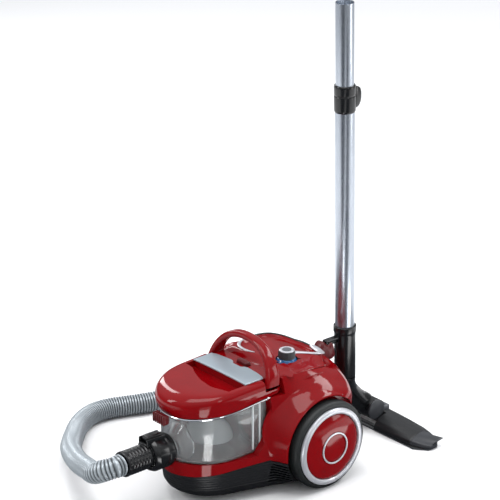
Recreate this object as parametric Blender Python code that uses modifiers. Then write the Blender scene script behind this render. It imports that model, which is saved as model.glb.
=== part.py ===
"""Canister vacuum cleaner with a clear dust container and a parked telescopic tube.

Lengths are in millimetres and MM turns them into Blender's metres. X points to the
cleaner's left side, -Y to its hose end, +Z up. The lengths are written with Y = 0 on
the rear wheels' axle; the empty "cleaner" moves that frame so that the world's origin
is on the floor under the middle of the machine.
"""
import math

import bmesh
import bpy
from mathutils import Matrix, Vector

MM = 0.001
GAP = 0.3                      # clearance between pieces that touch

# rear wheels
WHEEL_R = 78.5
WHEEL_OUT = 150.5              # outermost point of a wheel from the middle plane
WELL_R = 85.0
WELL_IN = 108.0                # inner wall of a wheel well
CAVITY_X = 104.0               # inside half width between the wheel wells

# body heights
BASE_Z = 13.0
BAY_FLOOR_Z = 80.0
BAY_REAR_Y = -86.0
STEP_Z = 176.0                 # ledge that the lid's shoulders rest on
LID_REAR_Y = -60.0
WALL = 3.0

# dust container and its lid
BOWL_REAR_Y = -88.0
RIM_FRONT_Z = 161.0
RIM_SLOPE = 0.084
LID_TOP_Z = 206.5
CYCLONE_Y = -150.0

# carrying handle
HANDLE_HALF = 75.7            # half the arch's span, foot to foot
HANDLE_BASE_Z = 180.0          # height that the arch's superellipse springs from
HANDLE_RISE = 75.3            # arch's height over its base
HANDLE_POWER = 2.3             # superellipse exponent of the arch
HANDLE_FOOT = 0.125           # angle in radians up the superellipse that each foot starts at

# hose
HOSE_Z = 103.2                 # height of the hose's inlet
HOSE_R = 19.0
CUFF_END_Y = -340.0

# parked tube, leaning forward
LEAN = math.radians(1.2)
TUBE_Y = 158.9                 # tube axis at TUBE_Z
TUBE_Z = 195.2
TUBE_R = 17.2
SOCKET_R = 18.9
UPPER_TUBE_R = 15.9

# floor head
BARREL_Y, BARREL_Z, BARREL_R = 215.0, 38.0, 19.0
HEAD_HALF = 155.0
HEAD_FRONT_Y, HEAD_REAR_Y = 204.0, 272.0

# small moving pieces
KNOB_AT = (38.0, -12.0, 204.0)
PEDAL_AT = (-92.0, 14.0, 186.0)
CASTOR_Y = -165.0
CASTOR_TRAIL = 8.0
CASTOR_R = 12.0

PLAN_SHIFT = -(CUFF_END_Y + HEAD_REAR_Y) / 2


# ---------------------------------------------------------------- scene and materials

for old in list(bpy.data.objects):
    bpy.data.objects.remove(old, do_unlink=True)

parts = bpy.data.collections.new("canister_vacuum")
cutters = bpy.data.collections.new("cutters")
for collection in (parts, cutters):
    bpy.context.scene.collection.children.link(collection)


def material(name, rgb, roughness, metallic=0.0, alpha=1.0):
    made = bpy.data.materials.new(name)
    made.use_nodes = True
    shader = made.node_tree.nodes["Principled BSDF"]
    shader.inputs["Base Color"].default_value = (*rgb, 1.0)
    shader.inputs["Roughness"].default_value = roughness
    shader.inputs["Metallic"].default_value = metallic
    shader.inputs["Alpha"].default_value = alpha
    made.diffuse_color = (*rgb, alpha)
    return made


RED = material("gloss_red", (0.27, 0.006, 0.010), 0.12)
DARK_RED = material("dark_red", (0.10, 0.004, 0.006), 0.3)
BLACK = material("satin_black", (0.012, 0.014, 0.016), 0.4)
RUBBER = material("rubber", (0.02, 0.022, 0.024), 0.7)
GREY = material("grey_plastic", (0.09, 0.095, 0.105), 0.4)
SILVER = material("silver_plastic", (0.55, 0.56, 0.60), 0.3, 0.4)
PLATE = material("satin_plate", (0.42, 0.50, 0.54), 0.35, 0.6)
CHROME = material("chrome", (0.8, 0.8, 0.82), 0.1, 1.0)
ALUMINIUM = material("anodised_tube", (0.6, 0.62, 0.66), 0.25, 1.0)
CLEAR = material("clear_plastic", (0.85, 0.88, 0.88), 0.05, 0.0, 0.35)
HOSE_GREY = material("hose_grey", (0.35, 0.39, 0.42), 0.4, 0.5)
BLUE = material("blue_plastic", (0.008, 0.045, 0.10), 0.3)
WHITE = material("filter_fleece", (0.75, 0.75, 0.72), 0.9)
STEEL = material("steel", (0.5, 0.5, 0.5), 0.35, 1.0)


# ---------------------------------------------------------------- placing and shaping

def pivot(name, at=(0, 0, 0), parent=None):
    """An empty that a moving piece hangs on; at is its place in the cleaner's frame."""
    holder = bpy.data.objects.new(name, None)
    holder.empty_display_size = 0.02
    parts.objects.link(holder)
    holder["at"] = at
    if parent is None:
        holder.location = (0.0, PLAN_SHIFT * MM, 0.0)
    else:
        holder.parent = parent
        holder.location = (Vector(at) - Vector(parent["at"])) * MM
    return holder


def place(made, finish, parent, at=(0, 0, 0), turn=(0, 0, 0)):
    """Hang an object on a pivot with its origin at a point of the cleaner's frame."""
    parts.objects.link(made)
    made.parent = parent
    made.location = (Vector(at) - Vector(parent["at"])) * MM
    made.rotation_euler = turn
    made.data.materials.append(finish)
    return made


def mesh_from(name, form):
    """Write a bmesh drawn in millimetres as a mesh in metres."""
    bmesh.ops.scale(form, vec=(MM, MM, MM), verts=form.verts)
    mesh = bpy.data.meshes.new(name)
    form.to_mesh(mesh)
    form.free()
    return mesh


def add_bevel(made, width, segments=2):
    bevel = made.modifiers.new("rounded", "BEVEL")
    bevel.width = width * MM
    bevel.segments = segments
    bevel.limit_method = "ANGLE"
    bevel.angle_limit = math.radians(40)


def block_mesh(name, low, high):
    """Mesh of a box between two corners."""
    form = bmesh.new()
    bmesh.ops.create_cube(form, size=1.0)
    size = Vector(high) - Vector(low)
    bmesh.ops.scale(form, vec=size, verts=form.verts)
    bmesh.ops.translate(form, vec=(Vector(high) + Vector(low)) / 2, verts=form.verts)
    return mesh_from(name, form)


def block(name, finish, parent, low, high, bevel=0.0):
    """A box with rounded edges; its origin is at its middle."""
    middle = (Vector(high) + Vector(low)) / 2
    half = (Vector(high) - Vector(low)) / 2
    made = bpy.data.objects.new(name, block_mesh(name, -half, half))
    place(made, finish, parent, middle)
    if bevel:
        add_bevel(made, bevel)
    return made


AXIS_TURN = {
    "Z": (0.0, 0.0, 0.0),
    "+X": (0.0, math.pi / 2, 0.0),
    "-X": (0.0, -math.pi / 2, 0.0),
    "-Y": (math.pi / 2, 0.0, 0.0),
    "+Y": (-math.pi / 2, 0.0, 0.0),
}


def turned_data(name, profile, closed):
    """Profile of (radius, height) points, drawn in the XZ plane."""
    mesh = bpy.data.meshes.new(name)
    points = [(r * MM, 0.0, h * MM) for r, h in profile]
    edges = [(i, i + 1) for i in range(len(points) - 1)]
    if closed:
        edges.append((len(points) - 1, 0))
    mesh.from_pydata(points, edges, [])
    return mesh


def add_screw(made, steps):
    screw = made.modifiers.new("turned", "SCREW")
    screw.angle = 2 * math.pi
    screw.steps = steps
    screw.render_steps = steps
    screw.use_merge_vertices = True
    screw.merge_threshold = 0.000002
    screw.use_smooth_shade = True


def turned(name, finish, parent, profile, at=(0, 0, 0), axis="Z", steps=32, turn=None):
    """A turned piece. The profile runs down its outer side; it closes on itself
    unless it starts and ends on the axis."""
    closed = profile[0][0] > 0
    made = bpy.data.objects.new(name, turned_data(name, profile, closed))
    place(made, finish, parent, at, turn or AXIS_TURN[axis])
    add_screw(made, steps)
    return made


def smooth_points(points, count, before=None, after=None):
    """Points on a Catmull-Rom curve through the given ones, count to each span."""
    vectors = [Vector(p) for p in points]
    first = Vector(before) if before else 2 * vectors[0] - vectors[1]
    last = Vector(after) if after else 2 * vectors[-1] - vectors[-2]
    chain = [first, *vectors, last]
    result = []
    for i in range(1, len(chain) - 2):
        a, b, c, d = chain[i - 1:i + 3]
        for step in range(count):
            t = step / count
            result.append(0.5 * (2 * b + (c - a) * t + (2 * a - 5 * b + 4 * c - d) * t * t
                                 + (3 * b - a - 3 * c + d) * t ** 3))
    result.append(vectors[-1])
    return result


def outline(half, tail=(), count=2):
    """Closed plan outline from half of it: (y, x) points from front to rear. The part in
    half is smooth, and tail holds straight corners up to the middle plane."""
    points = [(y, x) for y, x in half]
    mirrored_front = (points[1][0], -points[1][1])
    mirrored_rear = None if tail else (points[-2][0], -points[-2][1])
    right = [(p[1], p[0]) for p in smooth_points(points, count, mirrored_front, mirrored_rear)]
    right += [(x, y) for y, x in tail]
    left = [(-x, y) for x, y in reversed(right[1:-1])]
    return right + left


def ring(flat, height):
    """Lift a flat outline to a height, which may be a function of y."""
    level = height if callable(height) else (lambda y: height)
    return [(x, y, level(y)) for x, y in flat]


def loft_mesh(name, rings, bottom=True, top=True):
    """Skin between closed rings of equal point count, lowest first, with flat ends."""
    form = bmesh.new()
    rows = [[form.verts.new(p) for p in points] for points in rings]
    size = len(rows[0])
    for low, high in zip(rows, rows[1:]):
        for i in range(size):
            j = (i + 1) % size
            form.faces.new((low[i], low[j], high[j], high[i]))
    if bottom:
        form.faces.new(list(reversed(rows[0])))
    if top:
        form.faces.new(rows[-1])
    # warped faces become triangles, which a Boolean reads exactly
    bmesh.ops.triangulate(form, faces=form.faces)
    return mesh_from(name, form)


def loft(name, finish, parent, rings, bottom=True, top=True, at=(0, 0, 0)):
    made = bpy.data.objects.new(name, loft_mesh(name, rings, bottom, top))
    return place(made, finish, parent, at)


def add_wall(made, thickness):
    """Turn an open skin into a shell whose outer face is the skin."""
    solid = made.modifiers.new("wall", "SOLIDIFY")
    solid.thickness = thickness * MM
    solid.offset = -1.0
    solid.use_even_offset = True


def plate(name, finish, parent, points, thickness, at, turn=(0, 0, 0)):
    """Flat outline in the XY plane, extruded half its thickness both ways."""
    curve = bpy.data.curves.new(name, "CURVE")
    curve.dimensions = "2D"
    curve.fill_mode = "BOTH"
    curve.extrude = thickness / 2 * MM
    spline = curve.splines.new("POLY")
    spline.points.add(len(points) - 1)
    for target, (x, y) in zip(spline.points, points):
        target.co = (x * MM, y * MM, 0.0, 1.0)
    spline.use_cyclic_u = True
    made = bpy.data.objects.new(name, curve)
    return place(made, finish, parent, at, turn)


def tube(name, finish, parent, points, radius, resolution=3):
    """Round rod along points of the cleaner's frame, with filled ends."""
    curve = bpy.data.curves.new(name, "CURVE")
    curve.dimensions = "3D"
    curve.bevel_depth = radius * MM
    curve.bevel_resolution = resolution
    curve.use_fill_caps = True
    spline = curve.splines.new("POLY")
    spline.points.add(len(points) - 1)
    for target, point in zip(spline.points, points):
        target.co = (*(Vector(point) * MM), 1.0)
    made = bpy.data.objects.new(name, curve)
    return place(made, finish, parent)


def to_mesh(made):
    """Swap a curve for its welded mesh, so that a Boolean can read it."""
    bpy.context.view_layer.update()
    solid = bpy.data.meshes.new_from_object(made.evaluated_get(bpy.context.evaluated_depsgraph_get()))
    form = bmesh.new()
    form.from_mesh(solid)
    bmesh.ops.remove_doubles(form, verts=form.verts, dist=0.000002)
    bmesh.ops.recalc_face_normals(form, faces=form.faces)
    form.to_mesh(solid)
    form.free()
    name, parent, world = made.name, made.parent, made.matrix_world.copy()
    bpy.data.objects.remove(made, do_unlink=True)
    swapped = bpy.data.objects.new(name, solid)
    parts.objects.link(swapped)
    swapped.parent = parent
    bpy.context.view_layer.update()
    swapped.matrix_world = world
    return swapped


def as_cutter(made):
    """Move an object to the cutters, out of the build."""
    for collection in list(made.users_collection):
        collection.objects.unlink(made)
    cutters.objects.link(made)
    made.hide_render = True
    made.display_type = "WIRE"
    return made


def combine(made, other, operation="DIFFERENCE"):
    """Boolean an object with another, which joins the cutters."""
    as_cutter(other)
    boolean = made.modifiers.new(operation.lower(), "BOOLEAN")
    boolean.operation = operation
    boolean.object = other
    return made


def cut_blocks(made, corners):
    """Cut boxes out of an object, all with one cutter."""
    form = bmesh.new()
    for low, high in corners:
        size = Vector(high) - Vector(low)
        middle = (Vector(high) + Vector(low)) / 2
        bmesh.ops.create_cube(form, size=1.0, matrix=Matrix.Translation(middle) @ Matrix.Diagonal((*size,
                                                                                                   1.0)))
    cutter = bpy.data.objects.new(made.name + "_openings", mesh_from("openings", form))
    place(cutter, STEEL, CLEANER)
    return combine(made, cutter)


def rod_cutter(name, radius, length, at, axis, steps=32):
    """A round cutter that starts at a point and runs along an axis."""
    return turned(name, STEEL, CLEANER, [(0, length), (radius, length), (radius, 0), (0, 0)], at, axis,
                  steps)


# ---------------------------------------------------------------- bodies and their pivots

CLEANER = pivot("cleaner")
WHEELS = {side: pivot("wheel_pivot_" + side, (0, 0, WHEEL_R), CLEANER) for side in ("left", "right")}
CASTOR = pivot("castor_swivel_pivot", (0, CASTOR_Y, 40), CLEANER)
CASTOR_WHEEL = pivot("castor_roll_pivot", (0, CASTOR_Y + CASTOR_TRAIL, CASTOR_R), CASTOR)
KNOB = pivot("knob_pivot", KNOB_AT, CLEANER)
PEDAL = pivot("pedal_pivot", PEDAL_AT, CLEANER)
MOTOR_AT = (0.0, 0.0, 112.0)
REEL_AT = (0.0, 56.0, 100.0)
FAN = pivot("fan_pivot", MOTOR_AT, CLEANER)
REEL = pivot("reel_pivot", REEL_AT, CLEANER)
CONTAINER = pivot("container_pivot", (0, CYCLONE_Y, BAY_FLOOR_Z), CLEANER)
RELEASE = pivot("release_pivot", (0, -277, 130), CONTAINER)
LID = pivot("lid_pivot", (0, CYCLONE_Y, RIM_FRONT_Z), CONTAINER)
LATCH = pivot("latch_pivot", (0, -76, LID_TOP_Z), LID)
TUBE = pivot("tube_pivot", (0, TUBE_Y, TUBE_Z), CLEANER)
UPPER = pivot("upper_tube_pivot", (0, TUBE_Y, TUBE_Z), TUBE)
KEY = pivot("tube_key_pivot", (0, TUBE_Y, TUBE_Z), TUBE)
ELBOW = pivot("elbow_pivot", (0, TUBE_Y, TUBE_Z), TUBE)
HEAD = pivot("head_pivot", (0, BARREL_Y, BARREL_Z), ELBOW)
FOOT_KEY = pivot("foot_key_pivot", (0, 250, 26), HEAD)


# ---------------------------------------------------------------- body outlines

# Half outlines, (y, x) from the nose to the tail, of the red body at rising heights.
NOSE = [(-240, 0), (-234, 26), (-218, 50), (-190, 69), (-155, 80)]
BELT = NOSE + [(-118, 92), (-88, 102), (-50, 117), (-10, 127), (32, 127), (74, 106), (100, 74), (114, 38),
               (118, 0)]
SILL = NOSE + [(-118, 89), (-88, 98), (-50, 114), (-10, 128), (32, 128), (74, 107), (101, 74), (114, 38),
               (118, 0)]
HIP = NOSE + [(-118, 82), (-88, 87), (-50, 108), (-10, 127), (32, 128), (74, 106), (98, 74), (111, 38),
              (115, 0)]
FENDER = NOSE + [(-118, 80), (-88, 84), (-50, 102), (-10, 124), (32, 126), (73, 106), (94, 74), (107, 38),
                 (111, 0)]
SHOULDER = NOSE + [(-118, 79), (-88, 82), (-50, 92), (-12, 105), (28, 106), (62, 90), (80, 66), (92, 35),
                   (97, 0)]
CREST = NOSE + [(-118, 78), (-88, 80), (-50, 81), (-12, 83), (20, 82), (46, 74), (64, 56), (77, 30),
                (82, 0)]


def belt_z(y):
    """Seam between the black base and the red body, rising towards the wheels."""
    return 56.0 + 18.0 * min(1.0, max(0.0, (y + 240.0) / 190.0))


def crest_z(y):
    """Upper edge of the red body, falling away behind the knob."""
    return 203.0 - 22.0 * min(1.0, max(0.0, (y + 60.0) / 130.0)) ** 3


def grown(half, amount):
    """Half outline moved outwards by amount, about the middle of the cleaner."""
    result = []
    for y, x in half:
        away = Vector((y + 60.0, x * 1.3))
        away = away.normalized() if away.length > 1 else away
        result.append((y + away.x * amount, x + away.y * amount if x else 0))
    return result


def body_volume(grow=0.0):
    """Rings of the red body's outside, from its seam with the base to its top edge."""
    levels = ((BELT, lambda y: belt_z(y) + GAP), (SILL, 90.0), (HIP, 117.0), (FENDER, 150.0),
              (SHOULDER, 176.0),
              (CREST, crest_z))
    return [ring(outline(grown(half, grow) if grow else half), level) for half, level in levels]


def cavity_ring(half, front, height, limit=CAVITY_X):
    """Inner outline behind the container bay, WALL inside the outer one."""
    rear = [(y - WALL if y > 60 else y, min(max(x - WALL, 0), limit)) for y, x in half if y >= -50]
    ahead = dict(half)[-88] - 2 * WALL
    side = min(rear[0][1] * 0.9, ahead + 0.4 * (front - BAY_REAR_Y))
    return ring(closed_from([(front, 0), (front, side * 0.5), (front, side)] + rear), height)


def closed_from(points):
    """Closed outline with straight spans from a half outline."""
    right = [(x, y) for y, x in points]
    return right + [(-x, y) for x, y in reversed(right[1:-1])]


def wheel_wells(made):
    """Cut both wheel wells out of a body piece."""
    for side, sign in (("+X", 1), ("-X", -1)):
        combine(made, rod_cutter(made.name + "_well", WELL_R, 60, (sign * WELL_IN, 0, WHEEL_R), side, 48))


# ---------------------------------------------------------------- chassis

def base_half(y_scale, x_scale):
    return [(-62 + (y + 62) * y_scale, x * x_scale) for y, x in BELT]


def make_base_pan():
    """Black tray: its underside curves up to the nose, its rim follows the red seam."""
    rings = [ring(outline(base_half(0.84, 0.84)), BASE_Z), ring(outline(base_half(0.92, 0.93)), BASE_Z + 5),
             ring(outline(base_half(0.98, 0.98)), BASE_Z + 17), ring(outline(BELT), belt_z)]
    pan = loft("base_pan", BLACK, CLEANER, rings)
    inner = [[(y, min(x, CAVITY_X)) for y, x in base_half(*scales)] for scales in ((0.80, 0.80),
            (0.93, 0.93), (0.965, 0.965))]
    levels = (BASE_Z + WALL, BASE_Z + 17, 100.0)
    hollow = loft("base_hollow", STEEL, CLEANER,
                  [ring(closed_from(half), z) for half, z in zip(inner, levels)])
    combine(pan, hollow)
    wheel_wells(pan)
    combine(pan, rod_cutter("castor_hole", 26.0, 30, (0, CASTOR_Y, 0), "Z"))
    slots = []
    for sign in (-1, 1):
        for row in range(5):
            low = 22.0 + row * 8.0
            xs = sorted((sign * 84.0, sign * 125.0))
            slots.append(((xs[0], -102.0, low), (xs[1], -84.0 + 6.0, low + 3.5)))
    return cut_blocks(pan, slots)


def make_main_housing():
    """Red body shell with the container bay, the wheel wells and two exhaust openings."""
    housing = loft("main_housing", RED, CLEANER, body_volume())
    side_view = [(-320, BAY_FLOOR_Z), (-122, BAY_FLOOR_Z), (-92, 116), (BAY_REAR_Y, 124),
                 (BAY_REAR_Y, STEP_Z),
                 (LID_REAR_Y, STEP_Z), (LID_REAR_Y, 320), (-320, 320)]
    left = [(150.0, y, z) for y, z in side_view]
    right = [(-150.0, y, z) for y, z in side_view]
    combine(housing, loft("bay_profile", STEEL, CLEANER, [right, left]))
    flat = outline(BOWL_HALF, BOWL_TAIL)
    bay = [(x * 1.01, (y + 150.0) * 1.012 - 150.0) for x, y in flat]
    combine(housing, loft("bay_bore", STEEL, CLEANER, [ring(bay, BAY_FLOOR_Z), ring(bay, 320)]))
    lower = [(y, min(max(x - WALL, 0), CAVITY_X)) for y, x in grown(BELT, -WALL)]
    combine(housing, loft("belt_hollow", STEEL, CLEANER,
                          [ring(closed_from(lower), 40), ring(closed_from(lower), BAY_FLOOR_Z - WALL)]))
    front = BAY_REAR_Y + WALL
    step = LID_REAR_Y + WALL
    room = [cavity_ring(SILL, front, 60), cavity_ring(HIP, front, 117), cavity_ring(FENDER, front, 150),
            cavity_ring(SHOULDER, step, STEP_Z - WALL, 100), cavity_ring(CREST, step, 203),
            cavity_ring(CREST, step, 240)]
    combine(housing, loft("motor_room", STEEL, CLEANER, room))
    wheel_wells(housing)
    openings = [((18, 40, 153), (62, 140, 174)), ((-62, 40, 153), (-18, 140, 174)),
                ((-101, -6, 170), (-83, 34, 215))]
    cut_blocks(housing, openings)
    return combine(housing, rod_cutter("cable_hole", 6.4, 40, (-45, 90, 96), "+Y", 24))


def make_grille(side, sign):
    """Curved slotted panel that closes one exhaust opening, cut from the body's own skin."""
    panel = loft("exhaust_grille_" + side, SILVER, CLEANER, body_volume())
    xs = sorted((sign * (18.0 + GAP), sign * (62.0 - GAP)))
    frame = bpy.data.objects.new("grille_frame",
                                 block_mesh("grille_frame", (xs[0], 45, 153 + GAP),
                                            (xs[1], 140, 174 - GAP)))
    place(frame, STEEL, CLEANER)
    combine(panel, frame, "INTERSECT")
    inside = [cavity_ring(FENDER, -40, 147, 200), cavity_ring(SHOULDER, -40, 178, 200)]
    combine(panel, loft("grille_inside", STEEL, CLEANER, inside))
    slots = []
    for row in range(3):
        low = 157.0 + row * 5.0
        slots.append(((xs[0] + 4, 45, low), (xs[1] - 4, 140, low + 2.2)))
    return cut_blocks(panel, slots)


def make_top_cover():
    """Crowned deck behind the lid, with the knob's opening."""
    plan = [(-50, 76), (-30, 79.5), (-10, 81.5), (20, 80.5), (45, 72.5), (62.5, 55), (75, 29.5), (80, 0)]
    front = LID_REAR_Y + 2 * GAP

    def level(inset, lift):
        scale = 1.0 - inset / 80.0
        half = [(y * (1.0 - inset / 75.0), x * scale) for y, x in plan]
        corners = [(front, 0), (front, half[0][1] * 0.55), (front, half[0][1] * 0.96)]
        dense = [(p[0], p[1]) for p in smooth_points(half, 2, after=(half[-2][0], -half[-2][1]))]
        return ring(closed_from(corners + dense), lambda y: crest_z(y) + GAP + lift)

    cover = loft("top_cover", RED, CLEANER, [level(0, 0), level(0, 2.5), level(6, 7), level(17, 11),
                                             level(36, 17), level(56, 20)],
                 bottom=False)
    add_wall(cover, WALL)
    return combine(cover, rod_cutter("knob_hole", 19.0, 60, (KNOB_AT[0], KNOB_AT[1], 180), "Z"))


def make_insides():
    """Motor, filters and the cable reel's spindle, all held in the body."""
    turned("motor_housing", GREY, CLEANER,
           [(4.6, 45), (40, 45), (52, 38), (52, -28), (46, -34), (46, -54), (30, -56), (30, -53),
            (43, -52), (43, -34),
            (4.6, -30)], MOTOR_AT, "+Y", 24)
    block("premotor_filter", WHITE, CLEANER, (-48, -80, 92), (48, -64, 148), 2)
    block("exhaust_filter", WHITE, CLEANER, (-64, 56, 152), (64, 66, 172), 1)
    turned("reel_spindle", STEEL, CLEANER, [(0, 30), (5, 30), (5, -5), (22, -5), (22, -9), (0, -9)],
           REEL_AT, "+Y", 16)
    turned("cable_outlet", BLACK, CLEANER, [(3.8, 4), (8, 4), (9, 0), (6, 0), (6, -9), (3.8, -9)],
           (-45, 114.6, 96),
           "+Y", 14)


def make_parking_bracket():
    """Dark red loop at the tail that the tube's hook drops into."""
    bracket = block("parking_bracket", DARK_RED, CLEANER, (-12, 66, 158), (12, 128, 190), 4)
    combine(bracket, loft("bracket_fit", STEEL, CLEANER, body_volume(1.0)))
    cover_fit = block("cover_fit", STEEL, CLEANER, (-20, 40, 176), (20, 82, 230))
    combine(bracket, cover_fit)
    return cut_blocks(bracket, [((-7, 108, 163), (7, 121, 200))])


def make_wheels():
    """Rear wheels: tyre, silver ring, red hub cap with a light ring, on stub axles."""
    out = WHEEL_OUT
    for side, axis in (("left", "+X"), ("right", "-X")):
        hub = WHEELS[side]
        at = (0, 0, WHEEL_R)
        turned("tyre_" + side, RUBBER, hub,
               [(70, 138), (75.5, 137), (WHEEL_R, 132), (WHEEL_R, 119), (76, 114), (68.2, 113),
                (68.2, 137)], at, axis,
               30)
        turned("rim_ring_" + side, SILVER, hub,
               [(59.2, 143), (64, 144.5), (69.1, 142.5), (69.1, 138.4), (67.8, 137), (67.8, 113.5),
                (59.2, 113.5)], at,
               axis, 30)
        turned("hub_cap_" + side, RED, hub,
               [(0, 148.4), (29, 148.4), (45, 146), (58.8, 140.5), (58.8, 116), (55, 116), (54, 136),
                (12, 138),
                (12, 113), (6.3, 113), (6.3, 136), (0, 136)], at, axis, 26)
        turned("hub_ring_" + side, SILVER, hub,
               [(25, out), (28.5, out), (28.5, 148.4 + GAP), (25, 148.4 + GAP)], at, axis, 24)
        turned("stub_axle_" + side, STEEL, CLEANER,
               [(0, 135), (6, 135), (6, 112.3), (13, 112.3), (13, WELL_IN + GAP), (0, WELL_IN + GAP)], at,
               axis, 16)


def make_castor():
    """Swivelling front castor in its cup."""
    turned("castor_socket", BLACK, CLEANER,
           [(4.5, 41), (25.6, 41), (25.6, 14), (23, 14), (23, 37.5), (4.5, 37.5)], (0, CASTOR_Y, 0), "Z",
           20)
    yoke = turned("castor_yoke", GREY, CASTOR,
                  [(0, 45), (7, 45), (7, 41.4), (4, 41.4), (4, 37), (20, 37), (20, 33), (0, 33)],
                  (0, CASTOR_Y, 0), "Z",
                  20)
    wheel_y = CASTOR_Y + CASTOR_TRAIL
    for name, low, high in (("left_arm", 7.0, 9.5), ("right_arm", -9.5, -7.0)):
        arm = block("castor_" + name, GREY, CASTOR, (low, wheel_y - 5, 8), (high, wheel_y + 5, 34))
        combine(yoke, arm, "UNION")
    combine(yoke, rod_cutter("castor_pin", 2.0, 17, (-8.5, wheel_y, CASTOR_R), "+X", 10), "UNION")
    turned("castor_wheel", RUBBER, CASTOR_WHEEL,
           [(2.4, 6), (10.5, 6), (CASTOR_R, 4.5), (CASTOR_R, -4.5), (10.5, -6), (2.4, -6)],
           (0, wheel_y, CASTOR_R), "+X", 24)


def make_controls():
    """Power knob on its blue skirt, and the cable rewind pedal."""
    turned("knob_skirt", BLUE, KNOB, [(0, 8.5), (15, 8.5), (18, 4), (18.2, -2), (0, -2)], KNOB_AT, "Z", 24)
    turned("knob_cap", GREY, KNOB, [(0, 24), (12, 24), (13.5, 22.5), (15, 8.5 + GAP), (0, 8.5 + GAP)],
           KNOB_AT, "Z",
           24)
    x, y, z = PEDAL_AT
    pedal = block("rewind_pedal", DARK_RED, PEDAL, (x - 8, y - 19, z - 12), (x + 8, y + 19, z + 9), 2)
    top = bpy.data.objects.new("pedal_slope", block_mesh("pedal_slope", (-30, -40, 0), (30, 40, 30)))
    place(top, STEEL, CLEANER, (x, y, z + 5.5), (0, -0.6, 0))
    combine(pedal, top)


def make_fan_and_reel():
    """Suction fan on the motor's shaft, and the cable drum behind the motor."""
    turned("motor_fan", STEEL, FAN,
           [(0, -36), (4.2, -36), (4.2, -38), (40, -38), (41, -50), (10, -51), (8, -60), (0, -60)],
           MOTOR_AT, "+Y", 24)
    turned("reel_drum", GREY, REEL,
           [(5.4, 26), (46, 26), (46, 24), (20, 24), (20, 1), (46, 1), (46, -1.5), (5.4, -1.5)], REEL_AT,
           "+Y", 24)


# ---------------------------------------------------------------- dust container

BOWL_HALF = [(-238, 0), (-232.5, 27), (-217, 50), (-192, 68), (-163, 75), (-125, 76), (-96, 76)]
BOWL_TAIL = ((BOWL_REAR_Y, 72), (BOWL_REAR_Y, 36), (BOWL_REAR_Y, 0))
LID_HALF = [(-241, 0), (-235.5, 28), (-219, 52), (-193, 70), (-163, 77.5), (-125, 79), (-96, 80), (-70, 81)]
LID_TAIL = ((-61, 76), (-61, 40), (-61, 0))


def rim_z(y):
    """Edge between the clear bowl and the lid, rising to the rear."""
    return RIM_FRONT_Z + RIM_SLOPE * (y + 240.0)


def squeezed(flat, side, front):
    """Shrink a lid outline by a share of its width and of its front half's length."""
    return [(x * side, -150.0 + (y + 150.0) * front if y < -150.0 else y) for x, y in flat]


def make_bowl():
    flat = outline(BOWL_HALF, BOWL_TAIL)
    foot = [(x * 0.96, -150.0 + (y + 150.0) * 0.965) for x, y in flat]
    bowl = loft("container_bowl", CLEAR, CONTAINER,
                [ring(foot, BAY_FLOOR_Z + GAP), ring(flat, BAY_FLOOR_Z + 5), ring(flat, 120),
                 ring(flat, lambda y: rim_z(y) - GAP)], top=False)
    add_wall(bowl, 2.2)
    combine(bowl, rod_cutter("inlet_hole", 19.0, 60, (0, -200, HOSE_Z), "-Y"))
    turned("inlet_spout", CLEAR, CONTAINER, [(19.2, 40), (22.6, 40), (22.6, 0.6), (19.2, 0.6)],
           (0, -238, HOSE_Z), "-Y", 32)
    return bowl


def make_lid():
    flat = outline(LID_HALF, LID_TAIL)
    shoulder = 189.0

    def step(side, front, low, rise):
        return ring(squeezed(flat, side, front), lambda y: low + rise * (y + 249.0) / 190.0)

    lid = loft("container_lid", RED, LID,
               [ring(flat, lambda y: rim_z(y) + 3 + GAP),
                ring(squeezed(flat, 1.02, 1.07), lambda y: rim_z(y) + 11),
                step(1.015, 1.09, shoulder - 2, 7), step(0.96, 1.03, 196, 6), step(0.85, 0.84, 202.5, 3.2),
                ring(squeezed(flat, 0.7, 0.6), LID_TOP_Z - 0.3), ring(squeezed(flat, 0.4, 0.3), LID_TOP_Z)],
               bottom=False)
    add_wall(lid, 2.5)
    legs = [((66, -98, 188), (95, -50, 230)), ((-95, -98, 188), (-66, -50, 230)),
            ((-14, -82, 195), (14, -70, 230))]
    cut_blocks(lid, legs)
    trim = loft("lid_trim", CHROME, LID, [ring(squeezed(flat, 1.0, 1.012), rim_z),
                                          ring(squeezed(flat, 1.0, 1.012), lambda y: rim_z(y) + 3)])
    combine(trim, loft("trim_inside", STEEL, CLEANER, [ring(squeezed(flat, 0.94, 0.94), 140),
                                                       ring(squeezed(flat, 0.94, 0.94), 200)]))
    cut_blocks(trim, [((-100, BAY_REAR_Y - 1, 140), (100, -40, 200))])
    rear_edge = [(68 * math.cos(a), -92 + 8 * math.sin(a)) for a in (math.pi * i / 12 for i in range(13))]
    plate("lid_plate", PLATE, LID, [(-68, -131), (68, -131)] + rear_edge, 2.6,
          (0, 0, LID_TOP_Z + GAP + 1.3))
    grip = block("front_grip", DARK_RED, LID, (-17, -264, 153), (17, -246, 171), 3)
    fit = [ring(squeezed(flat, 1.03, 1.095), 140), ring(squeezed(flat, 1.03, 1.095), 200)]
    combine(grip, loft("grip_fit", STEEL, CLEANER, fit))
    block("latch_button", DARK_RED, LATCH, (-13.5, -81.5, 199), (13.5, -70.5, 213), 2)
    return lid


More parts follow.
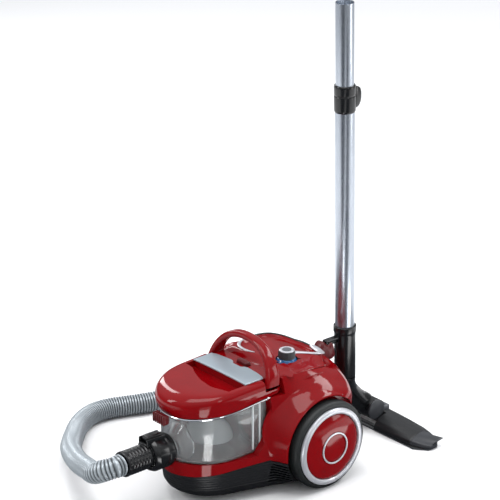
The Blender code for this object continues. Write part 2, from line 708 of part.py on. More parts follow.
def make_handle():
    """Arched carrying handle: a flat band on a superellipse, wider at its feet."""
    steps = 26
    power = 2.0 / HANDLE_POWER
    rings = []
    for i in range(steps + 1):
        angle = HANDLE_FOOT + (math.pi - 2 * HANDLE_FOOT) * i / steps
        cosine, sine = math.cos(angle), math.sin(angle)
        lift = sine ** power
        # the outward normal of the superellipse
        out = Vector((math.copysign(abs(cosine) ** (2 - power), cosine) / HANDLE_HALF, 0,
                      sine ** (2 - power) / HANDLE_RISE)).normalized()
        centre = Vector((HANDLE_HALF * math.copysign(abs(cosine) ** power, cosine), -80.0 + 12.9 * lift,
                         HANDLE_BASE_Z + HANDLE_RISE * lift))
        half_width = 18.0 - 9.5 * lift
        half_thick = 6.1
        section = [(-1, 0.55), (-0.7, 1), (0.7, 1), (1, 0.55), (1, -0.55), (0.7, -1), (-0.7, -1),
                   (-1, -0.55)]
        rings.append([centre + out * (t * half_thick) + Vector((0, w * half_width, 0)) for w, t in section])
    return loft("carry_handle", RED, LID, rings)


def make_cyclone():
    """Vortex tube and filter that hang from the lid into the bowl."""
    at = (0, CYCLONE_Y, 0)
    turned("vortex_tube", GREY, LID, [(42, 184), (58, 184), (58, 181), (45, 181), (41, 98), (38.5, 98),
                                      (42, 181)], at,
           "Z", 28)
    turned("vortex_filter", WHITE, LID, [(0, 178), (36, 178), (36, 174), (30, 172), (26, 108), (0, 106)],
           at, "Z", 20)


def make_connector():
    """Hose connector on the inlet: collar with its release button, and the ribbed cuff."""
    at = (0, 0, HOSE_Z)
    collar = turned("hose_collar", BLACK, CONTAINER,
                    [(23, 288), (26, 288), (30, 280), (30, 250), (27.5, 245), (23, 245)], at, "-Y", 28)
    saddle = block("collar_saddle", BLACK, CONTAINER, (-11, -296, HOSE_Z + 23.6), (11, -256, HOSE_Z + 33))
    combine(collar, saddle, "UNION")
    cut_blocks(collar, [((-8.5, -293, HOSE_Z + 25.5), (8.5, -260, 150))])
    block("release_button", BLACK, RELEASE, (-8, -292.5, HOSE_Z + 28.4), (8, -260.5, HOSE_Z + 37), 2)
    end = -CUFF_END_Y
    turned("hose_cuff", BLACK, CONTAINER,
           [(17.5, end), (21, end), (22.3, end - 3), (22.3, end - 9), (20.8, end - 12), (22.3, 318),
            (22.3, 288 + GAP), (17.5, 288 + GAP)], at, "-Y", 28)


# ---------------------------------------------------------------- hose

HOSE_ROUTE = [
    (0, -341.2, 103.2), (0, -348, 103.2), (-2, -357, 102), (-14, -369, 96), (-34, -372, 86),
              (-68, -361, 77), (-104, -348, 67),
    (-142, -330, 56), (-178, -311, 47), (-212, -289, 38), (-241, -265, 30), (-268, -240, 24),
              (-293, -215, 20),
    (-313, -187, 19), (-324, -157, 19), (-323, -125, 19), (-312, -93, 19), (-299, -62, 19), (-287, -25, 19),
    (-283, 15, 19), (-289, 58, 19), (-303, 100, 19), (-321, 145, 19), (-331, 190, 19), (-322, 237, 19),
    (-292, 273, 19), (-250, 286, 19), (-208, 269, 19), (-184, 230, 19), (-179, 185, 20), (-180, 145, 22),
    (-180, 120, 22), (-180, 98, 22),
]
GRIP_ROUTE = [(-180, 97.6, 22), (-180, 60, 22), (-182, 10, 22), (-187, -40, 22), (-197, -86, 22)]


def make_hose():
    points = smooth_points(HOSE_ROUTE, 2, before=(0, -334, 103.2))
    tube("hose", HOSE_GREY, CLEANER, points, HOSE_R, 2)
    tube("hand_grip", BLACK, CLEANER, smooth_points(GRIP_ROUTE, 3), 17.5, 2)


# ---------------------------------------------------------------- parked tube and floor head

TUBE_TURN = (LEAN, 0, 0)


def on_tube(height):
    """Point of the tube's axis at a height above the floor."""
    return (0.0, TUBE_Y - (height - TUBE_Z) * math.tan(LEAN), height)


def pipe(name, finish, parent, outer, inner, low, high, steps=28):
    length = (high - low) / math.cos(LEAN)
    return turned(name, finish, parent, [(inner, length), (outer, length), (outer, 0), (inner, 0)],
                  on_tube(low),
                  steps=steps, turn=TUBE_TURN)


def make_tube():
    pipe("lower_tube", ALUMINIUM, TUBE, TUBE_R, TUBE_R - 0.9, 130, 652)
    pipe("upper_tube", ALUMINIUM, UPPER, UPPER_TUBE_R, UPPER_TUBE_R - 0.9, 350, 800)
    turned("tube_collar", BLACK, TUBE,
           [(16.2, 656), (17.8, 656), (18.8, 654), (18.8, 610), (TUBE_R + 0.3, 608), (TUBE_R + 0.3, 652.6),
            (16.2, 652.6)], tuple(Vector(on_tube(0))), steps=28, turn=TUBE_TURN)
    key = plate("tube_key", BLACK, KEY, [(0, 0), (9, 4), (13, 20), (11, 33), (0, 38)], 16, on_tube(612),
                (math.pi / 2, 0, math.pi / 2))
    key.location += Vector((0, (18.8 + GAP) * MM, 0))
    turned("neck_socket", BLACK, TUBE,
           [(TUBE_R + 0.3, 98), (20.3, 98), (20.3, 86), (SOCKET_R, 83), (SOCKET_R, 0), (14, 0), (14, 14),
            (TUBE_R + 0.3, 14)], on_tube(114), steps=28, turn=TUBE_TURN)
    hook = block("parking_hook", BLACK, TUBE, (-5.5, 110, 190.6),
                 (5.5, on_tube(190)[1] - SOCKET_R - 0.6, 195.0))
    tongue = block("hook_tongue", BLACK, TUBE, (-5.5, 110, 168), (5.5, 117, 194))
    combine(hook, tongue, "UNION")


def make_elbow():
    """Bent neck from the socket down to the head's barrel, hollow from its top."""
    top = Vector(on_tube(112.6))
    path = [top, Vector(on_tube(104)), (0, 166, 88), (0, 178, 74), (0, 194, 58), (0, 208, 45)]
    neck = to_mesh(tube("neck_elbow", BLACK, ELBOW, smooth_points(path, 3), 18.0, 4))
    barrel = rod_cutter("neck_barrel", BARREL_R, 50, (-25, BARREL_Y, BARREL_Z), "+X", 36)
    combine(neck, barrel, "UNION")
    bore = to_mesh(tube("neck_bore", STEEL, CLEANER, smooth_points([Vector(on_tube(122))] + path[1:-1], 3),
                        14.0, 3))
    combine(neck, bore)
    for side, sign in (("left", "+X"), ("right", "-X")):
        start = (25 + GAP) * (1 if side == "left" else -1)
        turned("barrel_cap_" + side, GREY, ELBOW, [(0, 5), (16, 5), (BARREL_R, 3), (BARREL_R, 0), (0, 0)],
               (start, BARREL_Y, BARREL_Z), sign, 36)


def head_section(x):
    """Outline in the YZ plane of the floor head at a distance from the middle."""
    share = min(1.0, abs(x) / HEAD_HALF)
    taper = share ** 5
    front = HEAD_FRONT_Y + 22 * taper
    rear = HEAD_REAR_Y - 30 * taper
    high = 27.0 - 9.0 * share ** 1.5 - 6.0 * taper
    return [(x, front, 3.4), (x, rear, 3.4), (x, rear - 2, 9.0), (x, rear - 12, high - 4),
            (x, front + 26, high),
            (x, front + 8, high - 5), (x, front - 0.0, 10.0)]


def head_part(name, finish, low, high, count):
    xs = [low + (high - low) * i / count for i in range(count + 1)]
    return loft(name, finish, HEAD, [list(head_section(x)) for x in xs])


def make_head():
    """Floor head: cover with grey end caps, sole plate, brush strip and foot key."""
    cap_at = 118.0
    cover = head_part("head_cover", BLACK, -cap_at, cap_at, 10)
    cut_blocks(cover, [((-31.5, 180, 0), (31.5, 236.5, 60)), ((-15, 239.8, 13.2), (15, 262.8, 60))])
    suction_slot = block("suction_slot", STEEL, CLEANER, (-98, 223, 0), (98, 235.5, 12))
    combine(cover, suction_slot)
    head_part("head_end_left", GREY, cap_at + GAP, HEAD_HALF, 5)
    head_part("head_end_right", GREY, -HEAD_HALF, -cap_at - GAP, 5)
    half = [(-HEAD_HALF + 3, 224), (-130, 206), (130, 206), (HEAD_HALF - 3, 224), (HEAD_HALF - 3, 244),
            (130, 268),
            (-130, 268), (-HEAD_HALF + 3, 244)]
    sole = bpy.data.objects.new("sole_plate", loft_mesh("sole_plate", [[(x, y, 0.6) for x, y in half],
                                                                      [(x, y, 3.1) for x, y in half]]))
    place(sole, STEEL, HEAD)
    cut_blocks(sole, [((-100, 222, -5), (100, 236, 10)), ((-121, 211, -5), (121, 216, 10))])
    block("brush_strip", RUBBER, HEAD, (-120, 211.6, 0), (120, 215.4, 3.1))
    block("foot_key", GREY, FOOT_KEY, (-14, 241.5, 15.5), (14, 261, 30), 2)


make_base_pan()
make_main_housing()
make_grille("left", 1)
make_grille("right", -1)
make_top_cover()
make_insides()
make_parking_bracket()
make_wheels()
make_castor()
make_controls()
make_fan_and_reel()
make_bowl()
make_lid()
make_handle()
make_cyclone()
make_connector()
make_hose()
make_tube()
make_elbow()
make_head()

for made in parts.objects:
    if made.type == "MESH":
        made.data.shade_smooth()
        made.data.set_sharp_from_angle(angle=math.radians(35))
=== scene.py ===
"""Looks of the canister vacuum cleaner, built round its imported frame.

Lengths are in millimetres in the cleaner's own frame: Y = 0 on the rear wheels' axle, X to its
left side, -Y to the hose, +Z up. placed() turns them into the frame's metres.
"""
import math

import bmesh
import bpy
import numpy as np
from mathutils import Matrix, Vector


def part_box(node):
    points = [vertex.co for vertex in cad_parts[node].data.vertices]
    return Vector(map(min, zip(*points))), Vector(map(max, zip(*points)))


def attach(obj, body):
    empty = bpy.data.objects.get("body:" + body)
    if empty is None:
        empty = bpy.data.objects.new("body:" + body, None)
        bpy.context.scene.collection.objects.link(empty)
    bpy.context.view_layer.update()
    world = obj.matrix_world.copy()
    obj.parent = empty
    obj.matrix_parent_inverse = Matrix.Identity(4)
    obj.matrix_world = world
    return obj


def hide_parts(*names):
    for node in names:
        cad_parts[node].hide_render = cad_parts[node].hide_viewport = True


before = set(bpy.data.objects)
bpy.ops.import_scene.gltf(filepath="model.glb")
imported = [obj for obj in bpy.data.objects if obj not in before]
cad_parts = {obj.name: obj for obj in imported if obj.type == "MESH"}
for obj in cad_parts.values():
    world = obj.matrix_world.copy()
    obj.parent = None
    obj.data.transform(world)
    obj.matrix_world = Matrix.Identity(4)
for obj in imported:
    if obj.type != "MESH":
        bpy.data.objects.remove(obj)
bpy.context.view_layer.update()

MM = 0.001


def middle(node):
    low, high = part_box(node)
    return (low + high) / 2


AXLE_SHIFT = middle("tyre_left").y / MM        # the axle's place along the frame's Y
WHEEL_R = middle("tyre_left").z / MM


def placed(points):
    """Millimetres in the cleaner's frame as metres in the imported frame."""
    return (np.asarray(points, float) + (0.0, AXLE_SHIFT, 0.0)) * MM


# ---------------------------------------------------------------- meshes

def grid_faces(rows, columns, wrap=True, start=0):
    """Quads between neighbouring rows; the last column meets the first if wrap."""
    row, column = np.meshgrid(np.arange(rows - 1), np.arange(columns if wrap else columns - 1), indexing="ij")
    after = (column + 1) % columns
    quads = np.stack([row * columns + column, row * columns + after,
                      (row + 1) * columns + after, (row + 1) * columns + column], -1)
    return quads.reshape(-1, 4) + start


def write_mesh(name, points, faces, angle=35, triangles=False):
    """Mesh of millimetre points, smooth but for edges sharper than the angle."""
    mesh = bpy.data.meshes.new(name)
    mesh.from_pydata(placed(points).tolist(), [], [list(map(int, f)) for f in faces])
    form = bmesh.new()
    form.from_mesh(mesh)
    bmesh.ops.remove_doubles(form, verts=form.verts, dist=0.000001)
    bmesh.ops.recalc_face_normals(form, faces=form.faces)
    if form.calc_volume(signed=True) < 0:
        bmesh.ops.reverse_faces(form, faces=form.faces)
    if triangles:
        bmesh.ops.triangulate(form, faces=form.faces)
    form.to_mesh(mesh)
    form.free()
    mesh.shade_smooth()
    mesh.set_sharp_from_angle(angle=math.radians(angle))
    return mesh


def solid_faces(rows, columns, start=0):
    """Faces of a closed loft: rings joined by quads, and a flat face on both ends."""
    faces = grid_faces(rows, columns, True, start).tolist()
    faces.append([start + i for i in reversed(range(columns))])
    faces.append([start + (rows - 1) * columns + i for i in range(columns)])
    return faces


def show(name, mesh, finish, body, stands_for=()):
    """Put a finished mesh in the scene on its body, in place of its plain CAD nodes."""
    piece = bpy.data.objects.new(name, mesh)
    bpy.context.scene.collection.objects.link(piece)
    piece.data.materials.clear()
    piece.data.materials.append(finish)
    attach(piece, body)
    if stands_for:
        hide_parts(*([stands_for] if isinstance(stands_for, str) else stands_for))
    return piece


def loft(rings):
    """Closed loft through an array of rings, lowest or first ring to last."""
    rings = np.asarray(rings, float)
    return rings.reshape(-1, 3), solid_faces(rings.shape[0], rings.shape[1])


def loft_mesh(name, rings, angle=35, triangles=False):
    points, faces = loft(rings)
    return write_mesh(name, points, faces, angle, triangles)


def turned_points(profile, steps, at, across, along):
    """Profile of (radius, height) turned round an axis: radius times the cosine and sine of the
    angle in the plane across the axis, plus height along it."""
    profile = np.asarray(profile, float)
    along = np.asarray(along, float) / np.linalg.norm(along)
    first = np.asarray(across, float)
    first = first - along * (first @ along)
    first /= np.linalg.norm(first)
    second = np.cross(along, first)
    angle = np.linspace(0, 2 * math.pi, steps, endpoint=False)
    round_part = np.cos(angle)[:, None] * first + np.sin(angle)[:, None] * second
    return (np.asarray(at, float) + profile[:, 1, None, None] * along
            + profile[:, 0, None, None] * round_part[None, :, :])


def rounded(profile, radius=0.6, closed=True):
    """Corners of a profile cut by short arcs: each corner becomes three points on a quadratic
    curve that starts and ends radius before it."""
    corners = np.asarray(profile, float)
    result = []
    count = len(corners)
    for i in range(count):
        point = corners[i]
        if not closed and i in (0, count - 1):
            result.append(point)
            continue
        before, after = corners[i - 1], corners[(i + 1) % count]
        a = point + (before - point) * min(0.45, radius / max(np.linalg.norm(before - point), 1e-6))
        b = point + (after - point) * min(0.45, radius / max(np.linalg.norm(after - point), 1e-6))
        result += [a, 0.25 * a + 0.5 * point + 0.25 * b, b]
    return np.array(result)


def turned_mesh(name, profile, at, along, steps=96, soften=0.6, across=(0.0, 0.31, 0.95)):
    """Turned piece. The profile runs down its outer side, seen with the axis up; it closes on
    itself unless it starts and ends on the axis."""
    closed = profile[0][0] > 0
    fine = rounded(profile, soften, closed) if soften else np.asarray(profile, float)
    rings = turned_points(fine[::-1], steps, at, across, along)
    count = len(fine)
    if closed:
        faces = grid_faces(count, steps).tolist()
        ring = np.arange(steps)
        last = (count - 1) * steps
        after = (ring + 1) % steps
        faces += np.stack([last + ring, last + after, after, ring], -1).tolist()
        return write_mesh(name, rings.reshape(-1, 3), faces)
    return write_mesh(name, rings.reshape(-1, 3), grid_faces(count, steps).tolist())


def through(points, count):
    """Points on a Catmull-Rom curve through the given ones, count to each span: every span is
    the cubic whose ends lean along the line between each point's neighbours."""
    p = np.asarray(points, float)
    chain = np.concatenate([[2 * p[0] - p[1]], p, [2 * p[-1] - p[-2]]])
    a, b, c, d = chain[:-3, None], chain[1:-2, None], chain[2:-1, None], chain[3:, None]
    t = (np.arange(count) / count)[None, :, None]
    curve = 0.5 * (2 * b + (c - a) * t + (2 * a - 5 * b + 4 * c - d) * t * t + (3 * b - a - 3 * c + d) * t ** 3)
    return np.concatenate([curve.reshape(-1, p.shape[1]), p[-1:]])


def even(path, step):
    """The same path with points a step apart along its length."""
    run = np.concatenate([[0], np.cumsum(np.linalg.norm(np.diff(path, axis=0), axis=1))])
    at = np.linspace(0, run[-1], max(2, int(round(run[-1] / step)) + 1))
    return np.stack([np.interp(at, run, path[:, k]) for k in range(path.shape[1])], -1), at


def frames_along(path, up=(0.0, 0.0, 1.0)):
    """Two directions across a path at each point, turned as little as possible on the way."""
    tangent = np.gradient(path, axis=0)
    tangent /= np.linalg.norm(tangent, axis=1)[:, None]
    side = np.cross(tangent[0], up)
    if np.linalg.norm(side) < 1e-3:
        side = np.array([1.0, 0.0, 0.0])
    sides = []
    for t in tangent:
        side = side - t * (side @ t)
        side = side / np.linalg.norm(side)
        sides.append(side)
    sides = np.array(sides)
    return sides, np.cross(sides, tangent), tangent


def sweep_rings(path, radius, steps):
    """Circle carried along a path; radius is one number for each point."""
    side, up, _ = frames_along(path)
    angle = np.linspace(0, 2 * math.pi, steps, endpoint=False)
    circle = np.cos(angle)[None, :, None] * side[:, None, :] + np.sin(angle)[None, :, None] * up[:, None, :]
    return path[:, None, :] + circle * np.broadcast_to(np.asarray(radius, float), (len(path),))[:, None, None]


def block_rings(low, high, round_by=1.5, steps=4):
    """Box with rounded corners and edges: a rounded rectangle, drawn in at both ends by the
    same arc."""
    low, high = np.asarray(low, float), np.asarray(high, float)
    centre, half = (low + high) / 2, (high - low) / 2
    r = min(round_by, *(half * 0.95))
    turn = np.linspace(0, math.pi / 2, steps)
    corner = []
    for k, (sx, sy) in enumerate(((1, 1), (-1, 1), (-1, -1), (1, -1))):
        a = turn + k * math.pi / 2
        corner.append(np.stack([sx * (half[0] - r) + 0 * a, sy * (half[1] - r) + 0 * a, np.cos(a), np.sin(a)], -1))
    flat = np.concatenate(corner)
    rings = []
    for a in turn - math.pi / 2:
        rings.append((math.cos(a) * r, -half[2] + r + math.sin(a) * r))
    for a in turn:
        rings.append((math.cos(a) * r, half[2] - r + math.sin(a) * r))
    return np.array([[(f[0] + f[2] * grow, f[1] + f[3] * grow, z) for f in flat] for grow, z in rings]) + centre


def combine(mesh, cutter, operation="DIFFERENCE"):
    """Mesh cut by or joined with another, with both used up."""
    scene = bpy.context.scene.collection
    made = bpy.data.objects.new("made", mesh)
    other = bpy.data.objects.new("other", cutter)
    scene.objects.link(made)
    scene.objects.link(other)
    boolean = made.modifiers.new("cut", "BOOLEAN")
    boolean.operation = operation
    boolean.object = other
    bpy.context.view_layer.update()
    result = bpy.data.meshes.new_from_object(made.evaluated_get(bpy.context.evaluated_depsgraph_get()))
    bpy.data.objects.remove(made, do_unlink=True)
    bpy.data.objects.remove(other, do_unlink=True)
    result.shade_smooth()
    result.set_sharp_from_angle(angle=math.radians(33))
    return result


def joined(name, meshes, angle=35):
    """Several closed meshes as one, each with its own faces."""
    form = bmesh.new()
    for mesh in meshes:
        form.from_mesh(mesh)
    mesh = bpy.data.meshes.new(name)
    form.to_mesh(mesh)
    form.free()
    mesh.shade_smooth()
    mesh.set_sharp_from_angle(angle=math.radians(angle))
    return mesh


# ---------------------------------------------------------------- materials

def linear(colour):
    """sRGB hex as linear light: the standard curve on each channel."""
    parts = [int(colour[i:i + 2], 16) / 255 for i in (1, 3, 5)]
    return (*(c / 12.92 if c <= 0.04045 else ((c + 0.055) / 1.055) ** 2.4 for c in parts), 1.0)


def add(tree, kind, links=(), **settings):
    """Add one node: settings are its properties or input values, links are (socket, source)."""
    made = tree.nodes.new(kind)
    for key, value in settings.items():
        if hasattr(made, key):
            setattr(made, key, value)
        else:
            made.inputs[int(key[1:]) if key[1:].isdigit() else key.replace("_", " ")].default_value = value
    for socket, source in links:
        tree.links.new(made.inputs[socket], source)
    return made


def plastic(name, colour, shade, roughness, grain=0.35, bump=0.05, coat=0.0, metallic=0.0, rough_spread=0.06,
            coat_rough=0.03, groove=None, **shader_values):
    """Moulded plastic. Two soft clouds, one a few centimetres and one about a millimetre wide,
    shift its colour and roughness a little, and a fine grain gives the moulded skin."""
    finish = bpy.data.materials.new(name)
    finish.use_nodes = True
    tree = finish.node_tree
    shader = tree.nodes["Principled BSDF"]
    place = add(tree, "ShaderNodeTexCoord")
    cloud = add(tree, "ShaderNodeTexNoise", [("Vector", place.outputs["Object"])], Scale=34.0, Detail=3.0)
    fine = add(tree, "ShaderNodeTexNoise", [("Vector", place.outputs["Object"])], Scale=1000.0 / grain, Detail=2.0)
    tint = add(tree, "ShaderNodeMix", [(0, cloud.outputs["Fac"])], data_type="RGBA")
    tint.inputs[6].default_value = linear(colour)
    tint.inputs[7].default_value = linear(shade)
    tree.links.new(shader.inputs["Base Color"], tint.outputs[2])
    gloss = add(tree, "ShaderNodeMapRange", [("Value", cloud.outputs["Fac"])])
    gloss.inputs["To Min"].default_value = max(0.02, roughness - rough_spread)
    gloss.inputs["To Max"].default_value = roughness + rough_spread
    tree.links.new(shader.inputs["Roughness"], gloss.outputs["Result"])
    skin = add(tree, "ShaderNodeBump", [("Height", fine.outputs["Fac"])], Strength=bump, Distance=0.0002)
    tree.links.new(shader.inputs["Normal"], skin.outputs["Normal"])
    shader.inputs["Metallic"].default_value = metallic
    shader.inputs["Coat Weight"].default_value = coat
    shader.inputs["Coat Roughness"].default_value = coat_rough
    for key, value in shader_values.items():
        shader.inputs[key.replace("_", " ")].default_value = value
    if groove:
        # painted shade deep between the ribs, read from the mesh's own groove attribute
        deep = add(tree, "ShaderNodeAttribute", attribute_name="groove")
        shaded = add(tree, "ShaderNodeMix", [(0, deep.outputs["Fac"]), (6, tint.outputs[2])], data_type="RGBA")
        shaded.inputs[7].default_value = linear(groove)
        tree.links.new(shader.inputs["Base Color"], shaded.outputs[2])
    return finish


def brushed(name, colour, shade, roughness, along, anisotropic=0.3):
    """Drawn or brushed metal: noise stretched along the drawing direction gives fine streaks
    in colour, roughness and height."""
    finish = bpy.data.materials.new(name)
    finish.use_nodes = True
    tree = finish.node_tree
    shader = tree.nodes["Principled BSDF"]
    place = add(tree, "ShaderNodeTexCoord")
    squeeze = add(tree, "ShaderNodeMapping", [("Vector", place.outputs["Object"])])
    squeeze.inputs["Scale"].default_value = tuple(18.0 if a else 1500.0 for a in along)
    streak = add(tree, "ShaderNodeTexNoise", [("Vector", squeeze.outputs["Vector"])], Scale=1.0, Detail=4.0)
    tint = add(tree, "ShaderNodeMix", [(0, streak.outputs["Fac"])], data_type="RGBA")
    tint.inputs[6].default_value = linear(colour)
    tint.inputs[7].default_value = linear(shade)
    tree.links.new(shader.inputs["Base Color"], tint.outputs[2])
    gloss = add(tree, "ShaderNodeMapRange", [("Value", streak.outputs["Fac"])])
    gloss.inputs["To Min"].default_value = roughness - 0.06
    gloss.inputs["To Max"].default_value = roughness + 0.08
    tree.links.new(shader.inputs["Roughness"], gloss.outputs["Result"])
    lines = add(tree, "ShaderNodeBump", [("Height", streak.outputs["Fac"])], Strength=0.06, Distance=0.0001)
    tree.links.new(shader.inputs["Normal"], lines.outputs["Normal"])
    shader.inputs["Metallic"].default_value = 1.0
    shader.inputs["Anisotropic"].default_value = anisotropic
    return finish


def clear(name, colour, roughness, haze, ior=1.49):
    """Clear moulded plastic: light passes it but for a share of pale haze, with the faint flow
    marks of moulding."""
    finish = bpy.data.materials.new(name)
    finish.use_nodes = True
    tree = finish.node_tree
    shader = tree.nodes["Principled BSDF"]
    place = add(tree, "ShaderNodeTexCoord")
    flow = add(tree, "ShaderNodeTexNoise", [("Vector", place.outputs["Object"])], Scale=26.0, Detail=2.0)
    gloss = add(tree, "ShaderNodeMapRange", [("Value", flow.outputs["Fac"])])
    gloss.inputs["To Min"].default_value = roughness
    gloss.inputs["To Max"].default_value = roughness + 0.04
    tree.links.new(shader.inputs["Roughness"], gloss.outputs["Result"])
    wave = add(tree, "ShaderNodeBump", [("Height", flow.outputs["Fac"])], Strength=0.08, Distance=0.001)
    tree.links.new(shader.inputs["Normal"], wave.outputs["Normal"])
    shader.inputs["Base Color"].default_value = linear(colour)
    shader.inputs["IOR"].default_value = ior
    shader.inputs["Transmission Weight"].default_value = 1.0 - haze
    return finish


def fleece(name, colour, shade, thread=1.2):
    """Felted filter fleece: cell noise of a fibre's size for colour and height, and a sheen."""
    finish = bpy.data.materials.new(name)
    finish.use_nodes = True
    tree = finish.node_tree
    shader = tree.nodes["Principled BSDF"]
    place = add(tree, "ShaderNodeTexCoord")
    cells = add(tree, "ShaderNodeTexVoronoi", [("Vector", place.outputs["Object"])], Scale=1000.0 / thread)
    tint = add(tree, "ShaderNodeMix", [(0, cells.outputs["Distance"])], data_type="RGBA")
    tint.inputs[6].default_value = linear(colour)
    tint.inputs[7].default_value = linear(shade)
    tree.links.new(shader.inputs["Base Color"], tint.outputs[2])
    lift = add(tree, "ShaderNodeBump", [("Height", cells.outputs["Distance"])], Strength=0.5, Distance=0.0004)
    tree.links.new(shader.inputs["Normal"], lift.outputs["Normal"])
    shader.inputs["Roughness"].default_value = 0.92
    shader.inputs["Sheen Weight"].default_value = 0.3
    return finish


# ABS moulded in deep red and polished: a wet-looking gloss with sharp reflections
RED_ABS = plastic("polished_red_abs", "#84040a", "#740308", 0.08, bump=0.012, rough_spread=0.03, Specular_IOR_Level=0.27)
# the same red moulded in a textured tool: duller and darker
DARK_RED_ABS = plastic("satin_dark_red_abs", "#5e0a10", "#4a060b", 0.3, bump=0.12, Specular_IOR_Level=0.4)
# black polypropylene with a fine spark texture: soft grey highlights
BLACK_PP = plastic("spark_textured_black_pp", "#0f1012", "#17181b", 0.42, grain=0.5, bump=0.22)
# black ABS of the hose connector and the tube's fittings: smoother and a bit glossier
BLACK_ABS = plastic("satin_black_abs", "#0a0b0c", "#121315", 0.2, bump=0.08)
# thermoplastic rubber of the tyre: dull, slightly green-grey
TYRE_TPE = plastic("moulded_tpe_tyre", "#101414", "#191e1e", 0.55, grain=0.7, bump=0.3)
# mid-grey ABS of caps and inner frames
GREY_ABS = plastic("satin_grey_abs", "#4d4f54", "#5b5d62", 0.4, bump=0.15)
# darker grey ABS of the knob, the barrel caps and the head's ends
GREY_DARK = plastic("satin_dark_grey_abs", "#2c2e32", "#383a3e", 0.36, bump=0.15)
# silver lacquer on ABS: metal flakes under a thin coat
SILVER_PAINT = plastic("silver_lacquered_abs", "#cacbd0", "#bcbec4", 0.3, grain=0.25, bump=0.1, metallic=0.45, coat=0.3)
# cooler silver of the lid's plate, sprayed satin
PLATE_PAINT = plastic("satin_silver_blue_lacquer", "#aebbc3", "#9fadb6", 0.34, grain=0.25, bump=0.1, metallic=0.5)
# metallised film of the lid's trim: mirror bright
BRIGHT_TRIM = plastic("metallised_trim", "#e6e6ea", "#dcdce2", 0.12, bump=0.01, metallic=1.0, rough_spread=0.03)
# drawn aluminium tube, clear anodised: long streaks along the tube
TUBE_ALUMINIUM = brushed("anodised_drawn_aluminium", "#c3c9d1", "#aab1bb", 0.27, (0, 0, 1))
# turned and stamped steel inside
STEEL = brushed("plain_turned_steel", "#b4b4b4", "#8f9092", 0.36, (0, 1, 0))
# polycarbonate of the dust container: clear with a cool cast
CLEAR_PC = clear("clear_moulded_polycarbonate", "#f8fafa", 0.025, 0.09)
# smoky translucent inner separator
SMOKE_PC = plastic("pale_grey_separator", "#d3d8d9", "#c4cacc", 0.25, bump=0.08)
# hose wall with metallic pigment: soft sheen on each rib, and a dark colour painted into the grooves as shade
HOSE_EVA = plastic("metallic_grey_eva_hose", "#b9c0c5", "#a2abb1", 0.3, grain=0.6, bump=0.12, metallic=0.35,
                   groove="#23282b")
# blue ring of the power knob
BLUE_ABS = plastic("blue_translucent_abs", "#1d5c90", "#174d7c", 0.2, bump=0.03, coat=0.5)
# pleated and felted filters
FLEECE = fleece("felted_filter_fleece", "#dcdcd4", "#c2c2b8")
# nylon bristles seen from afar
BRISTLE = fleece("nylon_bristle", "#202124", "#0c0c0d", 0.8)


# ---------------------------------------------------------------- floor, light and camera

def inside_wedge(tree, place, apex, ahead, outside, inside, start):
    """Mask that is 1 within a wedge of the floor: where the cosine between the direction from
    its apex and the way ahead passes from the outside to the inside value, past a distance."""
    apart = add(tree, "ShaderNodeVectorMath", [(0, place.outputs["Object"])], operation="SUBTRACT")
    apart.inputs[1].default_value = apex
    aim = add(tree, "ShaderNodeVectorMath", [(0, apart.outputs[0])], operation="NORMALIZE")
    cosine = add(tree, "ShaderNodeVectorMath", [(0, aim.outputs[0])], operation="DOT_PRODUCT")
    cosine.inputs[1].default_value = ahead
    mask = add(tree, "ShaderNodeMapRange", [("Value", cosine.outputs["Value"])], interpolation_type="SMOOTHSTEP")
    mask.inputs["From Min"].default_value = outside
    mask.inputs["From Max"].default_value = inside
    away = add(tree, "ShaderNodeVectorMath", [(0, apart.outputs[0])], operation="LENGTH")
    past = add(tree, "ShaderNodeMath", [(0, away.outputs["Value"])], operation="GREATER_THAN")
    past.inputs[1].default_value = start
    return add(tree, "ShaderNodeMath", [(0, mask.outputs["Result"]), (1, past.outputs[0])], operation="MULTIPLY").outputs[0]


